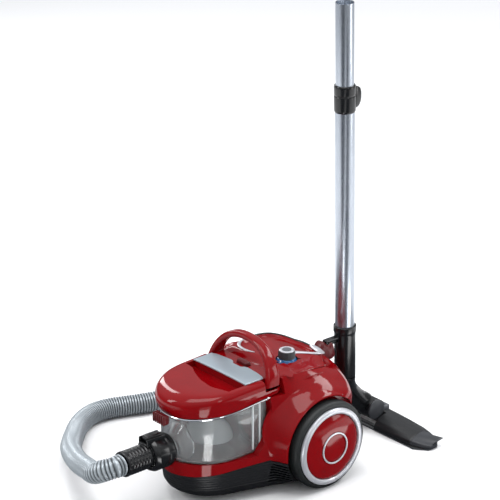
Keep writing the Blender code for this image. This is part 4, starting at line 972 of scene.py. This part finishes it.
def lid_rings():
    """Rings of the lid from its lower edge, over the shoulder, to its top."""
    flat = outline(LID_HALF, 10, LID_TAIL)
    keys = []
    for side, front, rear, low, rise in (
            (1.0, 1.0, 1.0, 164.0, 16.0), (1.012, 1.035, 1.0, 166.0, 16.0), (1.022, 1.068, 1.0, 171.5, 14.5),
            (1.024, 1.09, 0.999, 178.5, 9.5), (1.024, 1.092, 0.998, 186.0, 8.0), (1.015, 1.07, 0.996, 191.8, 8.0),
            (1.0, 1.03, 0.993, 196.2, 7.6), (0.972, 0.955, 0.988, 200.0, 6.0), (0.935, 0.86, 0.98, 202.8, 4.0),
            (0.87, 0.74, 0.95, 204.6, 2.2), (0.77, 0.60, 0.88, 205.6, 1.1), (0.55, 0.4, 0.6, 206.3, 0.3),
            (0.3, 0.2, 0.35, 206.4, 0.1), (0.06, 0.05, 0.06, 206.5, 0.0)):
        keys.append(lifted(squeezed(flat, side, front, rear), lambda y, a=low, b=rise: a + b * (y + 249) / 190))
    keys = np.array(keys)
    return through(keys.reshape(len(keys), -1), 4).reshape(-1, keys.shape[1], 3)


def recess_cutter():
    """Finger recess ahead of the plate: sections across X whose floor falls from the ridge to
    the plate's front edge."""
    xs = np.linspace(-66.5, 66.5, 61)
    ridge = np.interp(xs, [-66.5, -56, -44, -30, 0, 34, 66.5], [-148.5, -149.5, -151.5, -160, -172, -177, -165.5])
    ridge = np.convolve(np.pad(ridge, 2, mode="edge"), np.ones(5) / 5, mode="valid")
    rings = []
    for x, y0 in zip(xs, ridge):
        t = np.linspace(0, 1, 9)
        y = y0 + (-130.4 - y0) * t
        top = 201.2 + 2.6 * (1 - (x / 72) ** 2)
        depth = 9.5 * (1 - 0.35 * (x / 66.5) ** 4)
        z = top + 2.0 - (depth + 2.0) * np.sin(t * math.pi / 2) ** 0.85
        floor = np.column_stack([np.full(9, x), y, z])
        rings.append(np.concatenate([floor, [(x, -130.4, 230), (x, y0, 230)]]))
    return loft_mesh("recess", rings[::-1], triangles=True)


def make_lid():
    """Lid shell with its finger recess, and what is fixed to it."""
    outer = lid_rings()
    mesh = loft_mesh("lid", outer, triangles=True)
    mesh = combine(mesh, recess_cutter())
    # hollow from below, 2.5 mm inside the outer rings
    inside = np.concatenate([outer[:1] - (0, 0, 14), outer[:29]])
    inside[:, :, 0] *= 0.965
    inside[:, :, 1] = -150 + (inside[:, :, 1] + 150) * 0.97
    inside[1:, :, 2] -= 2.6
    inside[:, :, 2] = np.minimum(inside[:, :, 2], 189.0 + 0.01 * np.arange(len(inside))[:, None])
    mesh = combine(mesh, loft_mesh("lid_inside", inside, triangles=True))
    legs = []
    for low, high in (((67, -97.5, 188), (95, -50, 230)), ((-95, -97.5, 188), (-67, -50, 230)), ((-14, -82, 195), (14, -70, 230))):
        legs.append(loft_mesh("leg", block_rings(low, high, 2.0), triangles=True))
    for leg in legs:
        mesh = combine(mesh, leg)
    show("container_lid_moulded", mesh, RED_ABS, "lid", "container_lid")

    flat = outline(LID_HALF, 10, LID_TAIL)
    trim_profile = ((0.965, 0.965, 0.1), (1.008, 1.016, 0.1), (1.014, 1.024, 0.9), (1.014, 1.024, 2.1), (1.008, 1.016, 2.9),
                    (0.965, 0.965, 2.9))
    rings = np.array([lifted(squeezed(flat, a, b), lambda y, c=c: rim_z(y) + c) for a, b, c in trim_profile])
    points = rings.reshape(-1, 3)
    size = rings.shape[1]
    faces = grid_faces(len(rings), size).tolist()
    ring, last = np.arange(size), (len(rings) - 1) * size
    faces += np.stack([last + ring, last + (ring + 1) % size, (ring + 1) % size, ring], -1).tolist()
    mesh = combine(write_mesh("trim", points, faces, triangles=True), prism([(-87, 140), (-40, 140), (-40, 200), (-87, 200)], -100, 100))
    show("lid_trim_bright", mesh, BRIGHT_TRIM, "lid", "lid_trim")
    dots = [turned_mesh("dot", [(0, 2.2), (2.4, 1.6), (3.2, 0), (0, 0)], (sign * 79.6, -90.5, rim_z(-90) + 1.2), (sign, 0, 0), 32, 0.3)
            for sign in (1, -1)]
    show("trim_ends_bright", joined("dots", dots), BRIGHT_TRIM, "lid", ())

    # plate: a flat sheet with a round rear edge, its front edge rolled down over the recess
    steps = 48
    angle = np.linspace(0, math.pi, steps)
    rear = np.column_stack([68 * np.cos(angle), -92 + 8 * np.sin(angle)])
    rear[:, 1] -= 7.5 * np.exp(-((rear[:, 0]) / 15.0) ** 8) * (np.abs(rear[:, 0]) < 24)
    front = np.column_stack([np.linspace(-68, 68, steps), np.full(steps, -131.0)])
    side_l = np.column_stack([np.full(8, 68.0), np.linspace(-131, -92, 8)])[1:-1]
    ring = np.concatenate([front, side_l, rear, (side_l * (-1, 1))[::-1]])
    centre = np.array([0, -110.0])

    def plate_ring(share, z):
        p = centre + (ring - centre) * share
        return np.column_stack([p, z + 0.9 * (1 - (p[:, 0] / 68) ** 2)])

    rings = [plate_ring(0.5, 206.3), plate_ring(0.99, 206.3), plate_ring(0.998, 206.7), plate_ring(0.998, 208.0), plate_ring(0.985, 208.6),
             plate_ring(0.96, 208.7), plate_ring(0.5, 208.7), plate_ring(0.1, 208.7)]
    show("lid_plate_lacquered", loft_mesh("plate", rings), PLATE_PAINT, "lid", "lid_plate")

    # front grip: a rounded tongue with five upright ribs
    teeth = [loft_mesh("tongue", block_rings((-16, -262.0, 154.5), (16, -250.5, 169.5), 3.0))]
    for i in range(6):
        x = -13.0 + i * 5.2
        teeth.append(loft_mesh("tooth", block_rings((x - 1.2, -263.6, 153.5), (x + 1.2, -252, 170.6), 1.1, 3)))
    show("front_grip_ribbed", joined("grip", teeth), DARK_RED_ABS, "lid", "front_grip")
    button = loft_mesh("button", block_rings((-13.2, -81.2, 199), (13.2, -70.8, 213.2), 2.4, 5))
    show("latch_button_moulded", button, DARK_RED_ABS, "latch", "latch_button")


def make_handle():
    """Arched carrying handle: a flat rounded band whose middle follows a superellipse, wider at
    its feet, which stand in the lid."""
    half, base, rise, power, foot = 75.7, 180.0, 75.3, 2.0 / 2.3, 0.125
    angle = np.linspace(foot, math.pi - foot, 141)
    cosine, sine = np.cos(angle), np.sin(angle)
    lift = sine ** power
    centre = np.column_stack([half * np.sign(cosine) * np.abs(cosine) ** power, -80 + 12.9 * lift, base + rise * lift])
    out = np.column_stack([np.sign(cosine) * np.abs(cosine) ** (2 - power) / half, 0 * cosine, sine ** (2 - power) / rise])
    out /= np.linalg.norm(out, axis=1)[:, None]
    wide = 18 - 9.5 * lift
    turn = np.linspace(0, 2 * math.pi, 48, endpoint=False)
    # the section is a superellipse, flatter across than a circle
    w = np.sign(np.cos(turn)) * np.abs(np.cos(turn)) ** (2 / 3.4)
    t = np.sign(np.sin(turn)) * np.abs(np.sin(turn)) ** (2 / 2.8)
    rings = (centre[:, None, :] + out[:, None, :] * (t * 6.1)[None, :, None]
             + np.array([0, 1.0, 0]) * (w[None, :] * wide[:, None])[:, :, None])
    show("carry_handle_moulded", loft_mesh("handle", rings), RED_ABS, "lid", "carry_handle")


def make_cyclone():
    """Vortex tube with a skirt, and its pleated filter."""
    at, up = (0, CYCLONE_Y, 0), (0, 0, 1)
    tube = [(42, 184), (58, 184), (58, 181), (45, 181), (43.5, 150), (45.5, 148), (45.5, 144), (42.5, 142), (41, 98),
            (38.5, 98), (40, 150), (42, 181)]
    show("vortex_tube_moulded", turned_mesh("vortex", tube, at, up, 96, 0.5), SMOKE_PC, "lid", "vortex_tube")
    angle = np.linspace(0, 2 * math.pi, 288, endpoint=False)
    pleat = 1.4 * np.cos(angle * 36)
    rings = [np.column_stack([(r + pleat * k) * np.cos(angle), CYCLONE_Y + (r + pleat * k) * np.sin(angle), np.full(288, z)])
             for r, k, z in ((24, 0.4, 106), (26, 1, 108), (30, 1, 172), (34, 0.3, 174), (35.8, 0, 175), (35.8, 0, 178))]
    show("vortex_filter_pleated", loft_mesh("pleats", rings, 60), FLEECE, "lid", "vortex_filter")


# ---------------------------------------------------------------- grips, knobs and fittings

def make_controls():
    """Knob with its silver top, blue skirt and knurled side, and the rewind pedal."""
    at, up = (38, -12, 204), (0, 0, 1)
    skirt = [(0, 8.6), (14.6, 8.6), (15.4, 8.2), (17.4, 4.4), (18.0, 3.4), (18.2, -2), (0, -2)]
    show("knob_skirt_blue", turned_mesh("skirt", skirt, at, up, 96, 0.4), BLUE_ABS, "knob", "knob_skirt")
    angle = np.linspace(0, 2 * math.pi, 192, endpoint=False)
    flute = 0.35 * np.cos(angle * 32)
    rings = []
    for r, k, z in ((14.4, 0, 8.9), (14.9, 0.3, 9.6), (14.7, 1, 10.6), (13.9, 1, 20.8), (13.7, 0.2, 21.8), (13.2, 0, 22.3)):
        rings.append(np.column_stack([38 + (r + flute * k) * np.cos(angle), -12 + (r + flute * k) * np.sin(angle),
                                      np.full(192, 204.0 + z)]))
    body = show("knob_body_fluted", loft_mesh("knob", rings), GREY_DARK, "knob", "knob_cap")
    top = [(0, 23.4), (8.6, 23.4), (9.2, 23.8), (11.6, 23.9), (12.8, 23.3), (13.3, 22.5), (13.2, 22.0), (0, 22.0)]
    show("knob_top_lacquered", turned_mesh("top", top, at, up, 96, 0.2), SILVER_PAINT, "knob", ())
    centre = [(0, 24.0), (7.6, 24.0), (8.2, 23.8), (8.2, 23.2), (0, 23.2)]
    show("knob_centre", turned_mesh("centre", centre, at, up, 64, 0.2), GREY_ABS, "knob", ())

    # pedal: a rounded block cut to the slope of the deck, with three shallow grip grooves
    x, y, z = -92.0, 14.0, 186.0
    mesh = loft_mesh("pedal", block_rings((x - 8, y - 19, z - 12), (x + 8, y + 19, z + 9), 2.5, 5), triangles=True)
    slope = math.tan(0.6)
    rings = [[(x - 40, yy, z + 5.5 - 40 * slope), (x + 40, yy, z + 5.5 + 40 * slope), (x + 40, yy, z + 90), (x - 40, yy, z + 90)]
             for yy in (y - 60, y + 60)]
    mesh = combine(mesh, loft_mesh("slope", rings, triangles=True))
    for k in (-9, 0, 9):
        path = np.array([(x - 30, y + k, z + 6.4 - 30 * slope), (x, y + k, z + 6.4), (x + 30, y + k, z + 6.4 + 30 * slope)])
        mesh = combine(mesh, loft_mesh("groove", sweep_rings(path, 1.4, 16), triangles=True))
    show("rewind_pedal_grooved", mesh, DARK_RED_ABS, "pedal", "rewind_pedal")


def make_connector():
    """Hose connector: collar with a saddle, release button and ribbed cuff."""
    at, ahead = (0, 0, HOSE_Z), (0, -1, 0)
    collar = [(23, 288), (25.6, 288), (27.2, 286.5), (30, 280.5), (30, 262), (29.2, 261.2), (29.2, 259.4), (30, 258.6), (30, 250),
              (27.5, 245), (23, 245)]
    mesh = turned_mesh("collar", collar, at, ahead, 96, 0.5)
    saddle = [loft_mesh("cheek", block_rings((lo, -296, HOSE_Z + 20.6), (hi, -256, HOSE_Z + 33.6), 2.2, 5))
              for lo, hi in ((-11.4, -8.7), (8.7, 11.4))]
    saddle.append(loft_mesh("floor", block_rings((-11.0, -296, HOSE_Z + 18.6), (11.0, -256, HOSE_Z + 25.2), 2.0, 4)))
    show("hose_collar_moulded", joined("collar", [mesh, *saddle]), BLACK_ABS, "container", "hose_collar")
    button = [loft_mesh("button", block_rings((-8, -292.5, HOSE_Z + 28.4), (8, -260.5, HOSE_Z + 36.4), 2.6, 6))]
    for i in range(5):
        y = -288.5 + i * 3.1
        button.append(loft_mesh("rib", block_rings((-6.4, y - 0.7, HOSE_Z + 35.6), (6.4, y + 0.7, HOSE_Z + 37), 0.5, 3)))
    show("release_button_ribbed", joined("button", button), BLACK_ABS, "release", "release_button")
    # cuff: a sleeve with five raised rings and a flared end over the hose
    run = np.linspace(288.4, 340.0, 156)
    ribs = 0.9 * (0.5 + 0.5 * np.cos(2 * math.pi * (run - 296) / 6.4)) ** 2 * ((run > 292) & (run < 332))
    radius = 20.9 + ribs + 1.1 * ease((run - 332) / 3.0) - 1.2 * ease((run - 338.6) / 1.4)
    outer = np.column_stack([radius, run])[::-1]
    profile = np.concatenate([[(17.5, 340.0)], outer, [(17.5, 288.4)]])
    show("hose_cuff_ribbed", turned_mesh("cuff", profile, at, ahead, 96, 0), BLACK_ABS, "container", "hose_cuff")


def make_bracket():
    """Parking bracket: two rounded lugs on a stem, with the mouth that takes the hook."""
    run = np.linspace(0, 1, 40)
    y = 70 + 57.6 * run
    top = 178 + 14 * np.exp(-((y - 101) / 9.5) ** 2) + 8.5 * np.exp(-((y - 119) / 6.5) ** 2) + 5 * ease((y - 84) / 14) \
        - 14 * ease((y - 122) / 8)
    low = 158.4 + 5.0 * (1 - np.sin(run * math.pi / 2)) + 3 * ease((y - 120) / 9)
    wide = 10.6 + 1.2 * np.exp(-((y - 101) / 10) ** 2) + 1.2 * np.exp(-((y - 119) / 6) ** 2) - 2.6 * ease((y - 122) / 7)
    turn = np.linspace(0, 2 * math.pi, 56, endpoint=False)
    sx = np.sign(np.cos(turn)) * np.abs(np.cos(turn)) ** (2 / 3.6)
    sz = np.sign(np.sin(turn)) * np.abs(np.sin(turn)) ** (2 / 3.0)
    middle_z, half_z = (top + low) / 2, (top - low) / 2
    rings = np.stack([sx[None, :] * wide[:, None], np.broadcast_to(y[:, None], (40, 56)),
                      middle_z[:, None] + sz[None, :] * half_z[:, None]], -1)
    mesh = loft_mesh("bracket", rings, triangles=True)
    mesh = combine(mesh, loft_mesh("body_fit", body_rings(5, 0.6), triangles=True))
    mesh = combine(mesh, loft_mesh("deck_fit", block_rings((-30, 30, 176), (30, 82, 240), 1.0), triangles=True))
    mesh = combine(mesh, loft_mesh("mouth", block_rings((-7, 108, 163), (7, 121, 215), 1.5), triangles=True))
    show("parking_bracket_lugs", mesh, DARK_RED_ABS, "cleaner_body", "parking_bracket")


# ---------------------------------------------------------------- parked tube and floor head

LEAN = math.radians(1.2)
TUBE_Y, TUBE_Z, TUBE_R = 158.9, 195.2, 17.2
TUBE_UP = (0.0, -math.sin(LEAN), math.cos(LEAN))


def on_tube(height):
    """Point of the tube's axis at a height above the floor."""
    return (0.0, TUBE_Y - (height - TUBE_Z) * math.tan(LEAN), height)


def pipe(name, outer, inner, low, high, lip=0.5):
    """Round pipe along the tube's axis, its edges rounded by lip."""
    length = (high - low) / math.cos(LEAN)
    return turned_mesh(name, [(inner, length), (outer, length), (outer, 0), (inner, 0)], on_tube(low), TUBE_UP, 96, lip)


def make_tube():
    """Telescopic tube with its collar, slide key, socket and hook."""
    show("lower_tube_anodised", pipe("lower", TUBE_R, TUBE_R - 0.9, 130, 652), TUBE_ALUMINIUM, "tube", "lower_tube")
    show("upper_tube_anodised", pipe("upper", 15.9, 15.0, 350, 800), TUBE_ALUMINIUM, "upper_tube", "upper_tube")
    # the plastic end ring
    collar = [(16.2, 656.5), (17.4, 656.5), (18.4, 655.0), (18.8, 652.5), (18.8, 640), (18.2, 639), (18.2, 637.5), (18.8, 636.5),
              (18.8, 612), (18.2, 609.5), (17.5, 608), (17.5, 652.6), (16.2, 652.6)]
    show("tube_collar_moulded", turned_mesh("collar", collar, on_tube(0), TUBE_UP, 96, 0.4), BLACK_ABS, "tube", "tube_collar")
    # key: a wedge with a rounded back and three grip ridges, 16 mm wide
    side = through([(0, 0), (4.5, 1.2), (9, 5), (12, 12), (13, 20), (12.4, 28), (9.5, 34.5), (4.5, 37.6), (0, 38)], 5)
    ridges = 0.5 * np.cos(2 * math.pi * side[:, 1] / 3.4) * (side[:, 1] > 16) * (side[:, 1] < 32) * (side[:, 0] > 6)
    side[:, 0] += np.minimum(ridges, 0)
    rings = []
    for width, share in ((-8, 0.86), (-7.4, 0.96), (-6, 1), (6, 1), (7.4, 0.96), (8, 0.86)):
        rings.append(np.column_stack([np.full(len(side), width), 19.1 + on_tube(612)[1] + side[:, 0] * share - 0.35,
                                      612 + 19 + (side[:, 1] - 19) * (0.5 + 0.5 * share)]))
    show("tube_key_ridged", loft_mesh("key", rings), BLACK_ABS, "tube_key", "tube_key")
    socket = [(17.5, 98), (19.6, 98), (20.3, 97.2), (20.3, 87), (19.6, 85.4), (19.0, 84), (18.9, 80), (18.9, 0.6), (18.4, 0),
              (14, 0), (14, 14), (17.5, 14)]
    show("neck_socket_moulded", turned_mesh("socket", socket, on_tube(114), TUBE_UP, 96, 0.5), BLACK_ABS, "tube", "neck_socket")
    hook = [loft_mesh("arm", block_rings((-5.5, 110, 189.6), (5.5, on_tube(190)[1] - 18.4, 195.4), 1.6, 5)),
            loft_mesh("tongue", block_rings((-5.5, 110, 168), (5.5, 117, 194.6), 1.8, 5)),
            loft_mesh("gusset", block_rings((-2, 124, 183), (2, on_tube(186)[1] - 18.6, 191), 1.0, 4))]
    show("parking_hook_moulded", joined("hook", hook), BLACK_ABS, "tube", "parking_hook")


BARREL_Y, BARREL_Z, BARREL_R = 215.0, 38.0, 19.0


def make_elbow():
    """Bent neck on a smooth line from the socket to the barrel, thickest at its bend, with the
    barrel across its end and a grey cap on both sides."""
    path = through([on_tube(112.4), on_tube(104), (0, 165.5, 90), (0, 177, 75), (0, 193, 58), (0, 208, 45)], 10)
    path, run = even(path, 1.6)
    share = run / run[-1]
    radius = 18.4 - 1.8 * np.sin(share * math.pi) ** 2 + 1.0 * ease((share - 0.72) / 0.28)
    neck = loft_mesh("neck", sweep_rings(path, radius, 64, ), triangles=True)
    barrel = turned_mesh("barrel", [(0, 25), (17.6, 25), (BARREL_R, 23.8), (BARREL_R, -23.8), (17.6, -25), (0, -25)],
                         (0, BARREL_Y, BARREL_Z), (1, 0, 0), 96, 0.5)
    rings = [turned_points([(r, h)], 96, on_tube(112.4), (1, 0, 0), TUBE_UP)[0] for r, h in ((18.7, -0.6), (18.7, -6), (18.1, -7.0))]
    ring = loft_mesh("ring", rings)
    show("neck_elbow_moulded", joined("neck", [neck, barrel, ring]), BLACK_ABS, "elbow", "neck_elbow")
    for side, sign in (("left", 1), ("right", -1)):
        # cap: a shallow dome whose height falls as the square of the distance from its middle
        dome = [(r, 6.0 - 3.0 * (r / 18) ** 2.4) for r in np.linspace(0, 18.2, 14)]
        cap = dome + [(BARREL_R, 2.0), (BARREL_R, 0), (0, 0)]
        show("barrel_cap_" + side + "_domed", turned_mesh("cap", cap, (sign * 25.3, BARREL_Y, BARREL_Z), (sign, 0, 0), 96, 0.3),
             GREY_DARK, "elbow", "barrel_cap_" + side)


HEAD_HALF = 155.0


def head_section(x, count=72):
    """Floor head's outline at a distance from the middle: a smooth closed curve through points
    that lean on the head's width, its taper towards the ends being a fifth power."""
    share = min(1.0, abs(x) / HEAD_HALF)
    taper = share ** 5
    front, rear = 204.0 + 22 * taper, 272.0 - 30 * taper
    high = 27.0 - 8.6 * share ** 1.5 - 1.8 * taper
    keys = np.array([(front + 1, 3.4), (rear - 1, 3.4), (rear, 5.2), (rear - 0.6, 9.0), (rear - 4, 12.5 - 2 * taper), (rear - 14, high - 4),
                     (front + 34, high - 0.4), (front + 25, high), (front + 17, high - 1.6), (front + 8, high - 5.6),
                     (front + 1.6, 12.0 - 2 * taper), (front, 8.0), (front, 4.6)])
    p = np.concatenate([keys[-1:], keys, keys[:2]])
    a, b, c, d = p[:-3, None], p[1:-2, None], p[2:-1, None], p[3:, None]
    t = (np.arange(6) / 6)[None, :, None]
    curve = 0.5 * (2 * b + (c - a) * t * 0.8 + (2 * a - 5 * b + 4 * c - d) * t * t * 0 + 0 * t ** 3)
    # straight spans between the key points, their corners rounded by the averaging below
    curve = b + (c - b) * t
    flat = curve.reshape(-1, 2)
    for _ in range(3):
        flat = 0.25 * np.roll(flat, 1, 0) + 0.5 * flat + 0.25 * np.roll(flat, -1, 0)
    return np.column_stack([np.full(len(flat), x), flat])


def make_head():
    """Floor head: black cover, grey end caps, key and bristles."""
    cap_at = 118.0
    xs = np.concatenate([[-cap_at, -cap_at + 0.5], np.linspace(-cap_at + 4, cap_at - 4, 40), [cap_at - 0.5, cap_at]])
    rings = np.array([head_section(x) for x in xs])
    for i, shrink in ((0, 0.985), (-1, 0.985)):
        centre = rings[i].mean(0)
        rings[i] = centre + (rings[i] - centre) * shrink
    mesh = loft_mesh("cover", rings, triangles=True)
    mesh = combine(mesh, loft_mesh("barrel_room", block_rings((-31.5, 180, -4), (31.5, 236.5, 60), 3.0), triangles=True))
    mesh = combine(mesh, loft_mesh("key_room", block_rings((-15, 239.8, 13.2), (15, 262.8, 60), 1.5), triangles=True))
    mesh = combine(mesh, loft_mesh("suction_slot", block_rings((-98, 223, -6), (98, 235.5, 12), 1.5), triangles=True))
    show("head_cover_moulded", mesh, BLACK_PP, "floor_head", "head_cover")
    for side, sign in (("left", 1), ("right", -1)):
        xs = np.append(cap_at + 0.3 + (HEAD_HALF - 1.2 - cap_at) * np.linspace(0, 1, 25), HEAD_HALF)
        rings = np.array([head_section(sign * x) for x in xs])
        for i, shrink in ((0, 0.985), (-2, 0.97), (-1, 0.88)):
            centre = rings[i].mean(0)
            rings[i] = centre + (rings[i] - centre) * (1, shrink, shrink)
        show("head_end_" + side + "_moulded", loft_mesh("end", rings), GREY_DARK, "floor_head", "head_end_" + side)
    key = [loft_mesh("key", block_rings((-14, 241.5, 15.5), (14, 261, 30), 2.6, 5))]
    for k in range(4):
        y = 244.6 + k * 4.3
        key.append(loft_mesh("ridge", block_rings((-11, y - 0.8, 28.8), (11, y + 0.8, 30.6), 0.7, 3)))
    show("foot_key_ridged", joined("key", key), GREY_ABS, "foot_key", "foot_key")
    # brush: rows of short tufts in a strip
    tufts = [loft_mesh("holder", block_rings((-120, 211.6, 1.9), (120, 215.4, 3.1), 0.4, 3))]
    draw = np.random.default_rng(7)
    for i in range(96):
        x = -118.6 + i * 237.2 / 95
        lean = draw.uniform(-0.5, 0.5, 2)
        base = np.array([(math.cos(a), math.sin(a)) for a in np.linspace(0, 2 * math.pi, 6, endpoint=False)])
        low = np.column_stack([x + lean[0] + base[:, 0] * 1.05, 213.5 + lean[1] + base[:, 1] * 1.2, np.full(6, 0.1)])
        up = np.column_stack([x + base[:, 0] * 0.7, 213.5 + base[:, 1] * 0.9, np.full(6, 2.2)])
        tufts.append(loft_mesh("tuft", [low, up]))
    show("brush_strip_tufts", joined("brush", tufts), BRISTLE, "floor_head", "brush_strip")


def make_grilles():
    """Exhaust grilles: the body's own skin between its frame's edges, with fine louvres."""
    for side, sign in (("left", 1), ("right", -1)):
        low, high = sorted((sign * 18.3, sign * 61.7))
        skin = loft_mesh("grille_skin", body_rings(5, 0.1), triangles=True)
        block = loft_mesh("frame", block_rings((low, 45, 153.3), (high, 140, 173.7), 3.0), triangles=True)
        mesh = combine(skin, block, "INTERSECT")
        for k in range(5):
            z = 156.2 + k * 3.3
            louvre = loft_mesh("louvre", block_rings((low + 4, 60, z), (high - 4, 140, z + 1.6), 0.6, 3), triangles=True)
            core = loft_mesh("core", body_rings(5) * (0.985, 0.985, 1), triangles=True)
            mesh = combine(mesh, combine(louvre, core))
        show("exhaust_grille_" + side + "_louvred", mesh, SILVER_PAINT, "cleaner_body", "exhaust_grille_" + side)


def finish_frame_nodes():
    """CAD pieces whose plain shape is right keep it and take a real finish."""
    for names, finish in ((("premotor_filter", "exhaust_filter"), FLEECE), (("motor_housing", "reel_drum"), GREY_ABS),
                          (("castor_yoke",), GREY_ABS), (("castor_wheel",), TYRE_TPE), (("castor_socket", "cable_outlet"), BLACK_PP),
                          (("reel_spindle", "stub_axle_left", "stub_axle_right", "sole_plate"), STEEL),
                          (("motor_fan",), TUBE_ALUMINIUM)):
        for name in names:
            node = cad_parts[name]
            node.data.materials.clear()
            node.data.materials.append(finish)
            node.data.shade_smooth()
            node.data.set_sharp_from_angle(angle=math.radians(35))


make_studio()
make_camera()
make_hose()
make_wheels()
make_main_housing()
make_base_pan()
make_top_cover()
make_bowl()
make_lid()
make_handle()
make_cyclone()
make_controls()
make_connector()
make_bracket()
make_grilles()
make_tube()
make_elbow()
make_head()
finish_frame_nodes()
